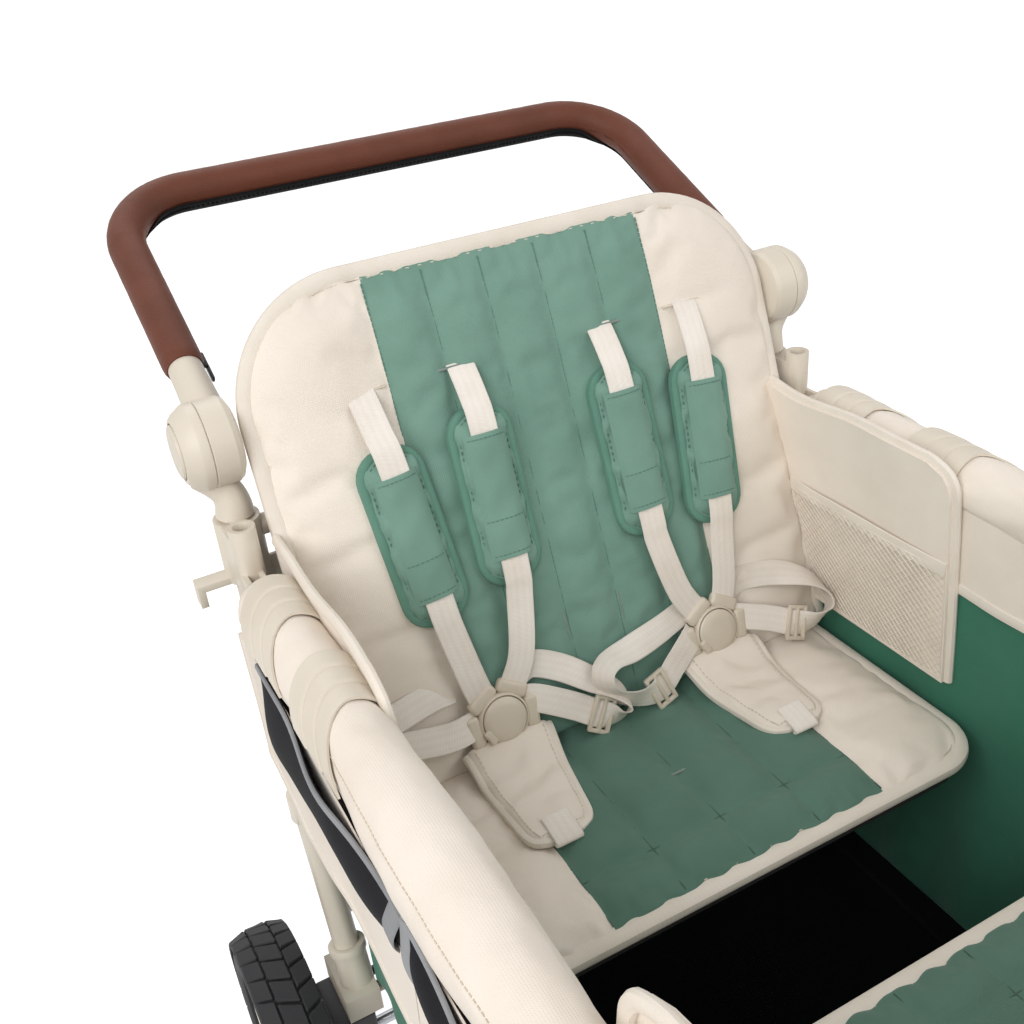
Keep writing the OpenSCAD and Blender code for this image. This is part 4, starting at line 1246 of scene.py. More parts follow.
    def crotch_spot(self, u: float, v: float) -> Vector:
        """A point on top of a crotch pad, which tapers from the buckle to its rounded lower end.

        Args:
            u: Share across, from -1 to 1.
            v: Share from the buckle to the lower end, from -1 to 1.

        Returns:
            The point on the seat: across from the pad's middle line, forward of the crease, and up.
        """
        t = (v + 1) / 2
        along = self.crotch_len * t
        half = 40.0 - 13.0 * t
        over = max(0.0, along - self.crotch_len + 16.0) / 16.0
        half -= 12.0 * (1 - math.sqrt(max(0.0, 1 - over * over)))
        climb = 15.0 * math.exp(-((along / 24.0) ** 2))
        crown = self.crotch_t * (0.45 + 0.55 * (max(0.0, 1 - abs(u) ** 5) * max(0.0, 1 - t**14)) ** 0.5)
        drift = noise.noise(Vector((u * 1.8, t * 5.0, 4.2)))
        reach = math.sin(math.pi * min(1.0, t * 1.2))
        ripple = 1.2 * drift + 1.7 * math.sin(t * 25.0 + 2.0 * u + 3.0 * drift) * reach
        return Vector((u * half - 7.0 * t, along, 0.8 + climb + crown + ripple * (1 - u**4) * (1 - t**8)))

    def crotch_pad(self, side: Side) -> None:
        """Builds one crotch pad with its bound edge and the strap that comes out of its lower end.

        Args:
            side: The side of the bench.
        """
        lay, word = self.layout, self.end.word
        body, name = f"{word}_seat", f"{word}_crotch_{side.word}"
        place = lay.matrix(self.end, side) @ lay.on_seat(-self.buckle_x)
        bm = grid(22, 34, self.crotch_spot, 66, self.crotch_len)
        rim = [e for e in bm.edges if e.is_boundary]
        made = bmesh.ops.extrude_edge_only(bm, edges=rim)["geom"]
        sides = [v for v in made if isinstance(v, bmesh.types.BMVert)]
        bmesh.ops.translate(bm, vec=(0, 0, -0.45 * self.crotch_t), verts=sides)
        bmesh.ops.holes_fill(bm, edges=[e for e in bm.edges if e.is_boundary], sides=0)
        bmesh.ops.triangulate(bm, faces=[f for f in bm.faces if len(f.verts) > 8])
        bmesh.ops.recalc_face_normals(bm, faces=bm.faces)
        nodes = (f"{word}_crotch_pads",)
        cushion = place_piece(f"{name}_pad", bm, place, (CREAM_CLOTH,), body, "cream_fabric", nodes)
        shares = [(-1, -1 + k / 15) for k in range(31)] + [(-1 + k / 6, 1) for k in range(1, 12)]
        shares += [(1, 1 - k / 15) for k in range(31)]
        lower = Vector((0, 0, -0.2 * self.crotch_t))
        border = Run.through((self.crotch_spot(u, v) + lower, (0, 0, 1)) for u, v in shares)
        edge = tube(border, oval(8, 7.5, 10, 2.6), 110)
        binding = place_piece(f"{name}_binding", edge, place, (CREAM_TAPE,), body, "cream_fabric")
        inset = [(0.84 * u, v if abs(v) < 0.93 else 0.93 * v) for u, v in shares]
        above = Vector((0, 0, 0.3))
        seam = Run.through((self.crotch_spot(u, v) + above, (0, 0, 1)) for u, v in inset)
        rows = stitches(seam, 4, 2.6, 0.7)
        sewing = place_piece(f"{name}_stitching", rows, place, (SEWING_THREAD,), body)
        far, lean = self.crotch_len, -7.0
        loop = (
            (lean, far - 22, 1.6), (lean, far + 2, 1.8), (lean, far + 9, 4.2), (lean, far + 7, 7.6),
            (lean, far - 4, 10.5), (lean, far - 16, 13.2),
        )
        ways = ((0, 0, -1), (0, 0.1, -1), (0, 1, 0), (0, 0.4, 1), (0, 0.3, 1), (0, 0, 1))
        tail = self.band(Run.through(zip(loop, ways)), 40)
        strap = place_piece(f"{name}_strap", tail, place, (WEBBING,), body, "webbing")
        seat = lay.matrix(self.end) @ lay.on_seat(out=-lay.pad_t)
        for piece in (cushion, binding, sewing, strap):
            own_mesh(piece)

    def hardware(self, side: Side) -> None:
        """Builds the buckle, its button and the strap sliders of one side.

        Args:
            side: The side of the bench.
        """
        word = self.end.word
        place = self.on_back(side)
        middle = Matrix.Translation((self.buckle_x, self.buckle_up, 0))
        axis = middle @ Matrix.Rotation(-math.pi / 2, 4, "Y")
        ring = [
            (2.0, 0), (2.0, 20.5), (4.5, 23.4), (11.0, 23.4), (13.2, 22.8), (14.2, 21.6), (13.9, 20.9),
            (8.2, 20.7), (8.2, 0),
        ]
        bm = lathe(ring, 64)
        bm.transform(axis)
        for turn, reach in ((58, 27), (122, 27), (-6, 27.5), (186, 27.5), (-90, 27)):
            spoke = middle @ Matrix.Rotation(math.radians(turn), 4, "Z")
            tongue = spoke @ Matrix.Translation((reach, 0, 8.2))
            absorb(bm, block((13, 29, 9.6), tongue, 4.0, 4))
        corner = middle @ Matrix.Translation((-16.5 * side.value, -10.0, 14.6))
        key = corner @ Matrix.Rotation(0.5 * side.value, 4, "Z")
        absorb(bm, block((7.0, 14.0, 4.2), key, 2.0, 4))
        sliders = {
            Side.LEFT: ((26.0, 12.0, 21.0, 31.0), (218.0, 54.0, 13.5, 12.0)),
            Side.RIGHT: ((36.0, 13.0, 22.0, 18.0), (196.0, 18.5, 18.0, -20.0)),
        }
        for x, y, out, turn in sliders[side]:
            local = Matrix.Translation((x, y, out)) @ Matrix.Rotation(math.radians(turn), 4, "Z")
            for bar in (-9.0, 0.0, 9.0):
                absorb(bm, block((4.0, 33.0, 4.6), local @ Matrix.Translation((bar, 0, 0)), 1.4))
            for bar in (-15.0, 15.0):
                absorb(bm, block((22.0, 4.0, 4.2), local @ Matrix.Translation((0, bar, 0)), 1.4))
        place_piece(
            f"{word}_buckle_{side.word}", bm, place, (BUCKLE_PLASTIC,), f"{word}_frame", "cream_plastic",
            (f"{word}_buckles",),
        )
        button = lathe([(11.0, 0), (11.0, 20.0), (14.4, 20.0), (15.9, 18.6), (16.9, 12), (17.4, 0)], 64)
        button.transform(axis)
        body = f"{word}_buckle_button_{side.word}"
        place_piece(f"{body}_cap", button, place, (BUCKLE_PLASTIC,), body, "cream_plastic", (body,))


@dataclass(frozen=True)
class SideFlap:
    """One padded flap beside a bench, with a net pocket on it."""

    layout: Layout
    end: End
    side: Side
    x: float = 248.0
    low: float = 516.0
    high: float = 724.0
    corner: float = 24.0
    thick: float = 4.5
    net_low: float = 522.0
    net_high: float = 632.0
    front_y: float = 122.0
    front_rake: float = 12.0
    back_y: float = 279.0
    back_slope: float = 0.352
    folded_y: float = 330.0

    @property
    def lie(self) -> tuple[float, float, float]:
        """How far the flap leans in, how deep it waves and how much higher it is pulled, as each one lies."""
        own = {(End.REAR, Side.LEFT): (-1.5, 0.8, 0.0), (End.FRONT, Side.LEFT): (8.0, 2.6, 19.0)}
        return own.get((self.end, self.side), (7.0, 2.6, 0.0))

    def spot(self, u: float, v: float, inset: float = 0.0) -> Vector:
        """A point on the flap.

        Args:
            u: Share from its front edge to its rear edge, -1 to 1.
            v: Share from its lower edge to its upper edge, -1 to 1.
            inset: Distance off its face, towards the bench.

        Returns:
            The point in wagon millimetres.
        """
        z = self.low + (self.high - self.low) * (v + 1) / 2
        front = self.front_y + (z - self.low) / (self.high - self.low) * self.front_rake
        over = max(0.0, z - (self.high - self.corner)) / self.corner
        front += self.corner * (1 - math.sqrt(max(0.0, 1 - over * over)))
        rear = self.back_y + (z - self.layout.seat_height) * self.back_slope
        y = front + (rear - front) * (u + 1) / 2
        rise = (v + 1) / 2
        lean, depth, lift = self.lie
        wave = depth * rise * rise * (1 - math.cos(y / 21.0)) * (1 - u * u * 0.4)
        top = z + lift * rise + 2.5 * rise * math.sin(y / 27.0)
        return Vector((self.x - wave - lean * rise**2 - inset, y, top))

    def build(self) -> None:
        """Builds the flap with its binding and pocket."""
        word, side = self.end.word, self.side
        place = self.layout.matrix(self.end, side)
        body = f"{word}_frame"
        sheet = thicken(grid(30, 34, self.spot, 175, 208), self.thick)
        panel = place_piece(f"{word}_flap_{side.word}", sheet, place, (CREAM_CLOTH,), body, "cream_fabric",
                            (f"{word}_wings",))
        face = (-1, 0, 0)
        edge = [(self.spot(-1, -1 + k / 20, -self.thick / 2), face) for k in range(41)]
        edge += [(self.spot(-1 + k / 10, 1, -self.thick / 2), face) for k in range(1, 21)]
        trim = tube(Run.through(edge), oval(11.0, self.thick + 3.0, 10, 2.4), 110)
        high = self.share(self.net_high)
        gape = [5.0 + 5 * math.sin(math.pi * k / 24) for k in range(25)]
        hem = [(self.spot(-0.99 + 1.96 * k / 24, high, gape[k]), face) for k in range(25)]
        absorb(trim, tube(Run.through(hem), oval(14.0, 2.4, 10, 4), 48))
        binding = place_piece(
            f"{word}_flap_binding_{side.word}", trim, place, (CREAM_TAPE,), body, "cream_fabric"
        )
        net = place_piece(
            f"{word}_flap_net_{side.word}", self.net(), place, (NET_CORD,), body, "cream_fabric"
        )
        for piece in (panel, binding, net):
            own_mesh(piece)

    def share(self, z: float) -> float:
        """The share from the lower to the upper edge at a height."""
        return (z - self.low) / (self.high - self.low) * 2 - 1

    def net(self) -> bmesh.types.BMesh:
        """The net of the pocket, with diamond holes, bulging towards the bench.

        Returns:
            The mesh.
        """

        def place(u: float, v: float) -> Vector:
            """The net's point for a share across and up."""
            z = self.net_low + (self.net_high - self.net_low) * (v + 1) / 2
            bulge = 5.0 + 7.0 * (1 - u * u) * (0.5 + 0.5 * (v + 1) / 2)
            return self.spot(u * 0.975, self.share(z), bulge)

        bm = grid(22, 15, place, 150, 110)
        old = list(bm.edges)
        bmesh.ops.poke(bm, faces=bm.faces)
        bmesh.ops.dissolve_edges(bm, edges=[e for e in old if e.is_valid and not e.is_boundary])
        bmesh.ops.wireframe(bm, faces=bm.faces, thickness=1.1, use_replace=True, use_boundary=True,
                            use_even_offset=True)
        return bm


@dataclass(frozen=True)
class RailCover:
    """The padded cover over both halves of one rail."""

    layout: Layout
    side: Side
    stop: float = 326.0
    bend: float = 45.0

    def fullness(self, y: float, turn: float) -> float:
        """The cover's size against its plain round, tied in under the saddles and softly wrinkled.

        Args:
            y: Place along the rail.
            turn: Share round it, from its outer side over its top.

        Returns:
            The factor.
        """
        tied = max(math.exp(-(((abs(y) - s) / 30.0) ** 4)) for s in self.layout.saddle_ys)
        middle = 0.13 * math.exp(-((y / 95.0) ** 2))
        round_it = Vector((y / 26.0, 3.0 * math.cos(2 * math.pi * turn), 3.0 * math.sin(2 * math.pi * turn)))
        facing = max(0.0, math.cos(2 * math.pi * (turn - 0.93))) ** 2
        gaping = 0.14 * math.exp(-(((abs(y) - 118.0) / 46.0) ** 4)) * facing
        wrinkle = 0.045 * noise.noise(round_it) * (1 - 0.7 * tied)
        return 1.0 + 0.085 * (1 - tied) + middle + wrinkle - gaping

    def on_cover(self, y: float, turn: float, lift: float = 0.0) -> Vector:
        """A point on the cover at a place along the rail and a share round it."""
        lay, around = self.layout, 2 * math.pi * turn
        r = lay.cover_r * self.fullness(y, turn) + lift
        return Vector((lay.rail_x + r * math.cos(around), y, lay.rail_z + r * math.sin(around)))

    def build(self) -> None:
        """Builds the cover with the seam along its outer side."""
        lay = self.layout
        ys = [self.stop * (k / 12 - 1) for k in range(25)]
        run = Run.through(((lay.rail_x, y, lay.rail_z), (0, 0, 1)) for y in ys)

        def swell(along: float, turn: float) -> float:
            """The cover's size along it, drawn in at the ends beside the brackets."""
            out = abs(2 * along - 1)
            return self.fullness(self.stop * (2 * along - 1), turn) * (1 - 0.2 * max(0.0, out - 0.96) / 0.04)

        bm = tube(run, oval(2 * lay.cover_r, 2 * lay.cover_r, 40), 220, swell)
        place = lay.matrix(End.REAR, self.side)
        name = f"rail_cover_{self.side.word}"
        cover = place_piece(name, bm, place, (CREAM_CLOTH,), sharp=80)
        seam = Run.through(
            (self.on_cover(4.4 * k - 132.0, 0.085, 0.3), (0.9, 0, 0.5)) for k in range(61)
        )
        sewing = place_piece(f"{name}_seam", stitches(seam, 4.0, 2.6, 0.7), place, (SEWING_THREAD,))
        rear, front = (place @ Vector((lay.rail_x, y, lay.rail_z)) for y in (self.bend, -self.bend))
        for piece in (cover, sewing):
            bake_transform(piece)
            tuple(rear)
            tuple(front)
        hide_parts("rail_covers_rear", "rail_covers_front")


@dataclass(frozen=True)
class Saddles:
    """The stepped saddles on one half of both rails."""

    layout: Layout
    end: End
    saddle_w: float = 57.0
    plates: int = 3

    def build(self) -> None:
        """Builds the saddles of both sides."""
        for side in Side:
            self.saddle_pair(side)

    def saddle_pair(self, side: Side) -> None:
        """Builds the saddles of one cover: three thin plates each, stepped down towards the wagon's middle.

        Args:
            side: The side of the wagon.
        """
        lay = self.layout
        bm = bmesh.new()
        for middle in lay.saddle_ys:

            def place(u: float, v: float) -> Vector:
                """The saddle's point: v runs from inside over the top to the tail outside."""
                over, rear = (v + 1) / 2, (u + 1) / 2
                turn = 200.0 * over - 22.0
                plate = rear * self.plates
                edge = abs(plate - round(plate))
                groove = math.exp(-((edge / 0.05) ** 2)) if 0.5 < plate < self.plates - 0.5 else 0.0
                step = min(self.plates - 1, int(plate + 0.02))
                radius = lay.cover_r + 2.6 + 0.9 * step - 1.5 * groove
                sweep = (52.0 - 20.0 * rear) * max(0.0, (turn - 80.0) / 98.0) ** 1.7
                angle = math.radians(turn)
                return Vector((
                    lay.rail_x - radius * math.cos(angle),
                    middle + u * self.saddle_w / 2 - sweep,
                    lay.rail_z + radius * math.sin(angle),
                ))

            absorb(bm, thicken(grid(60, 44, place, self.saddle_w, 100), 1.8))
        name = f"rail_saddles_{self.end.word}_{side.word}"
        place_piece(
            name, bm, lay.matrix(self.end, side), (CREAM_PLASTIC,), f"rails_{self.end.word}",
            "cream_plastic", (f"rail_saddles_{self.end.word}",), sharp=50,
        )


@dataclass(frozen=True)
class SideWalls:
    """The cloth walls of one end: a lining inside, a skirt outside, and the pockets on it."""

    layout: Layout
    end: End
    lining_x: float = 254.5
    lining_low: float = 234.0
    lining_top: float = 680.0
    lining_stop: float = 330.0
    lining_folds: float = 3.0
    valance_x: float = 251.5
    valance_low: float = 609.0
    valance_top: float = 700.0
    skirt_x: float = 302.0
    skirt_low: float = 560.0
    skirt_top: float = 686.0
    skirt_stop: float = 312.0
    skirt_folds: float = 2.6
    pocket_start: float = 4.0
    pocket_stop: float = 262.0
    pocket_top: float = 689.0
    pocket_belly: float = 9.0
    pocket_flat: tuple[float, float] = (0.265, 0.1)
    gape_y: float = 122.0
    gape_half: float = 52.0
    gape: float = 8.0
    stop: float = 368.0
    gathered: float = 0.57
    flare: float = 0.14

    def build(self) -> None:
        """Builds the walls of both sides."""
        for side in Side:
            self.wall(side)
            self.skirt(side)

    def folded(
        self, x: float, y: float, z: float, depth: float, count: float, low: float, high: float
    ) -> float:
        """How far a hanging cloth stands out at a place.

        Args:
            x: Its plane.
            y: Place along.
            z: Height.
            depth: Depth of its folds at the free edge.
            count: Folds over its length.
            low: Height of its lower edge.
            high: Height of its upper edge.

        Returns:
            The place across.
        """
        slack = 0.25 + 0.75 * (high - z) / (high - low)
        wave = math.sin(2 * math.pi * count * y / self.stop + 0.9 * math.sin(z / 70.0))
        small = noise.noise(Vector((y / 45.0, z / 90.0, x / 50.0)))
        return x + depth * slack * (0.7 * wave + 0.6 * small)

    def wall(self, side: Side) -> None:
        """Builds the lining with its cream valance.

        Args:
            side: The side of the wagon.
        """
        word = self.end.word
        place = self.layout.matrix(self.end, side)
        low, high, stop = self.lining_low, self.lining_top, self.lining_stop

        def hang(u: float, v: float) -> Vector:
            """The lining's point for a share along and up."""
            y, z = 1.0 + (stop - 1.0) * (u + 1) / 2, low + (high - low) * (v + 1) / 2
            return Vector((self.folded(self.lining_x, y, z, self.lining_folds, 4.5, low, high), y, z))

        sheet = thicken(grid(60, 60, hang, stop - 1, high - low), 1.2)
        lining = place_piece(
            f"{word}_lining_{side.word}", sheet, place, (GREEN_CLOTH,), f"{word}_frame", "green_fabric",
            (f"{word}_side_walls",),
        )

        top = self.valance_top

        def lap(u: float, v: float) -> Vector:
            """The valance's point for a share along and up."""
            y, z = 1.0 + (stop - 1.0) * (u + 1) / 2, self.valance_low + (top - self.valance_low) * (v + 1) / 2
            return Vector((self.folded(self.valance_x, y, z, 1.4, 3.0, self.valance_low, top), y, z))

        cloth = thicken(grid(50, 20, lap, stop - 1, top - self.valance_low), 1.4)
        valance = place_piece(
            f"{word}_valance_{side.word}", cloth, place, (CREAM_CLOTH,), f"{word}_frame", "cream_fabric"
        )
        hem = [(lap(-1 + k / 20, -0.93) + Vector((-0.4, 0, 0)), (-1, 0, 0)) for k in range(41)]
        band = tube(Run.through(hem), oval(10.0, 3.4, 10, 3), 80)
        tape = place_piece(
            f"{word}_valance_hem_{side.word}", band, place, (CREAM_TAPE,), f"{word}_frame", "cream_fabric"
        )
        for piece in (lining, valance, tape):
            self.crumple(piece, place, 0.0)

    def skirt(self, side: Side) -> None:
        """Builds the skirt with its hem and pocket.

        Args:
            side: The side of the wagon.
        """
        word = self.end.word
        place = self.layout.matrix(self.end, side)
        low, high, stop = self.skirt_low, self.skirt_top, self.skirt_stop

        def hang(u: float, v: float) -> Vector:
            """The skirt's point for a share along and up."""
            y, z = 1.0 + (stop - 1.0) * (u + 1) / 2, low + (high - low) * (v + 1) / 2
            return Vector((self.folded(self.skirt_x, y, z, self.skirt_folds, 2.0, low, high), y, z))

        bm = thicken(grid(60, 30, hang, stop - 1, high - low), 1.2)
        cloth = place_piece(
            f"{word}_skirt_{side.word}", bm, place, (CREAM_CLOTH,), f"{word}_frame", "cream_fabric",
            (f"{word}_side_walls",),
        )
        line = [(hang(-1 + k / 20, -0.93) + Vector((1.2, 0, 0)), (1, 0, 0)) for k in range(41)]
        line += [(hang(0.985, -0.93 + 1.9 * k / 12) + Vector((1.2, 0, 0)), (1, 0, 0)) for k in range(1, 13)]
        hem = tube(Run.through(line), oval(9.0, 3.0, 10, 3), 110)
        tape = place_piece(
            f"{word}_skirt_hem_{side.word}", hem, place, (CREAM_TAPE,), f"{word}_frame", "cream_fabric"
        )
        pocket, rim = self.pocket(hang)
        bag = place_piece(f"{word}_side_pocket_{side.word}", pocket, place, (BLACK_CLOTH,), f"{word}_frame")
        trim = place_piece(f"{word}_pocket_trim_{side.word}", rim, place, (GREY_TAPE,), f"{word}_frame")
        for piece in (cloth, tape, bag, trim):
            self.crumple(piece, place, self.flare)

    def pocket(
        self, hang: Callable[[float, float], Vector]
    ) -> tuple[bmesh.types.BMesh, bmesh.types.BMesh]:
        """The black side pocket, whose mouth gapes under the rail, and its grey trim.

        Args:
            hang: The skirt's point for a share along and up.

        Returns:
            The pocket and the trim.
        """
        first, last, high = self.pocket_start, self.pocket_stop, self.pocket_top

        def bag(u: float, v: float) -> Vector:
            """The pocket's point for a share along and up, from its slanting foot to its mouth."""
            t = (v + 1) / 2
            y = first + (last - first) * (u + 1) / 2
            foot = 648.0 - 0.17 * y
            gape = math.exp(-(((y - self.gape_y) / self.gape_half) ** 2))
            z = foot + (high - 4.0 * gape - foot) * t
            share = min(1.0, (z - self.skirt_low) / (self.skirt_top - self.skirt_low) * 2 - 1)
            back = hang((y - 1.0) / (self.skirt_stop - 1.0) * 2 - 1, share)
            belly = self.pocket_belly * math.sin(math.pi * min(1.0, t * 1.08)) * (1 - u**8)
            return Vector((back.x + 1.5 + belly + self.gape * gape * t**3, y, z))

        def inside(u: float, v: float) -> Vector:
            """The pocket's back, from the top of the skirt in under the rail."""
            t = (v + 1) / 2
            y = 0.4 + (last - 0.4) * (u + 1) / 2
            return Vector((self.skirt_x - 0.5 - 22.0 * t, y, self.skirt_top - 1.0 - 22.0 * t))

        face = (1, 0, 0.2)
        trim = [(bag(-1 + k / 20, 0.95) + Vector((0.8, 0, 0)), face) for k in range(41)]
        out = Vector((1.0, 0, 0))
        slant = [(bag(-0.995 + 0.12 * k / 10, 1 - 2.0 * k / 10) + out, (1, 0, 0)) for k in range(11)]
        rim = tube(Run.through(trim), oval(4.6, 2.6, 10, 3), 80)
        absorb(rim, tube(Run.through(slant), oval(15.0, 2.4, 10, 3), 30))
        cloth = thicken(grid(44, 20, bag, last - first, 80.0), 1.4)
        absorb(cloth, thicken(grid(30, 4, inside, last - first, 31.0), 1.0))
        return cloth, rim

    def crumple(self, piece: bpy.types.Object, place: Matrix, flare: float) -> None:
        """Gives a cloth piece its own copy of its mesh.

        Args:
            piece: The piece.
            place: Where its side lies in the frame; not used.
            flare: How far out it would also go, as a share of its way along; not used.
        """
        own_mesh(piece)


@dataclass(frozen=True)
class EndPanel:
    """The cloth panel across one end, with a pouch on the rear one."""

    layout: Layout
    end: End
    y: float = 415.8
    half: float = 266.0
    low: float = 240.0
    high: float = 680.0
    corner: float = 30.0
    band_low: float = 610.0
    pouch_half: float = 190.0
    pouch_low: float = 382.0
    pouch_high: float = 608.0
    pouch_deep: float = 24.0

    def build(self) -> None:
        """Builds the panel with its binding and, at the rear, its pouch."""
        word = self.end.word
        place = self.layout.matrix(self.end)
        body = f"{word}_frame"
        bm = thicken(grid(60, 46, self.spot, 2 * self.half, self.high - self.low), 2.0)
        for face in bm.faces:
            face.material_index = int(face.calc_center_median().z < self.band_low)
        panel = place_piece(f"{word}_end_panel", bm, place, (CREAM_CLOTH, GREEN_CLOTH), body, "green_fabric",
                            (f"{word}_panel",))
        line = [(self.spot(-1, 1 - k / 15), (0, 1, 0)) for k in range(31)]
        line += [(self.spot(-1 + k / 15, -1), (0, 1, 0)) for k in range(1, 31)]
        line += [(self.spot(1, -1 + k / 15), (0, 1, 0)) for k in range(1, 31)]
        trim = tube(Run.through(line), oval(10.0, 5.0, 10, 3), 180)
        for z in (self.band_low, self.high - 3):
            share = (z - self.low) / (self.high - self.low) * 2 - 1
            cross = [(self.spot(-1 + k / 15, share), (0, 1, 0)) for k in range(31)]
            absorb(trim, tube(Run.through(cross), oval(10.0, 5.0, 10, 3), 90))
        if self.end is End.REAR:
            self.pouch(place, trim)
        place_piece(f"{word}_end_binding", trim, place, (CREAM_TAPE,), body, "cream_fabric")

    def spot(self, u: float, v: float) -> Vector:
        """The panel's point for a share across and up."""
        z = self.low + (self.high - self.low) * (v + 1) / 2
        half = self.half
        low_over = max(0.0, self.low + self.corner - z) / self.corner
        half -= self.corner * (1 - math.sqrt(max(0.0, 1 - low_over**2)))
        slack = 1.6 * noise.noise(Vector((u * 4, v * 3, 1.7))) * (1 - u * u) * (1 - v * v)
        return Vector((u * half, self.y + 1.6 + slack, z))

    def pouch(self, place: Matrix, trim: bmesh.types.BMesh) -> None:
        """Builds the rear pouch, lofted out of the panel.

        Args:
            place: The turn from wagon millimetres into the frame.
            trim: The panel's binding, which gets the pouch's.
        """
        half, low, high = self.pouch_half, self.pouch_low, self.pouch_high

        def bag(u: float, v: float) -> Vector:
            """The pouch's point for a share across and up."""
            t = (v + 1) / 2
            swell = (1 - abs(u) ** 5) ** 0.6 * (1 - (1 - t) ** 6) ** 0.6
            sag = 10.0 * t**2 * (1 - u * u)
            y = self.y + 3.0 + self.pouch_deep * swell * (0.75 + 0.25 * t)
            return Vector((u * half, y, low + (high - low) * t - sag))

        sheet = thicken(grid(44, 30, bag, 2 * half, high - low), 1.6)
        cloth = place_piece("rear_pouch", sheet, place, (GREEN_CLOTH,), "rear_frame", "green_fabric")
        mouth = [(bag(-1 + k / 20, 0.97) + Vector((0, 0.5, 0)), (0, 1, 0)) for k in range(41)]
        absorb(trim, tube(Run.through(mouth), oval(10.0, 3.6, 10, 3), 90))


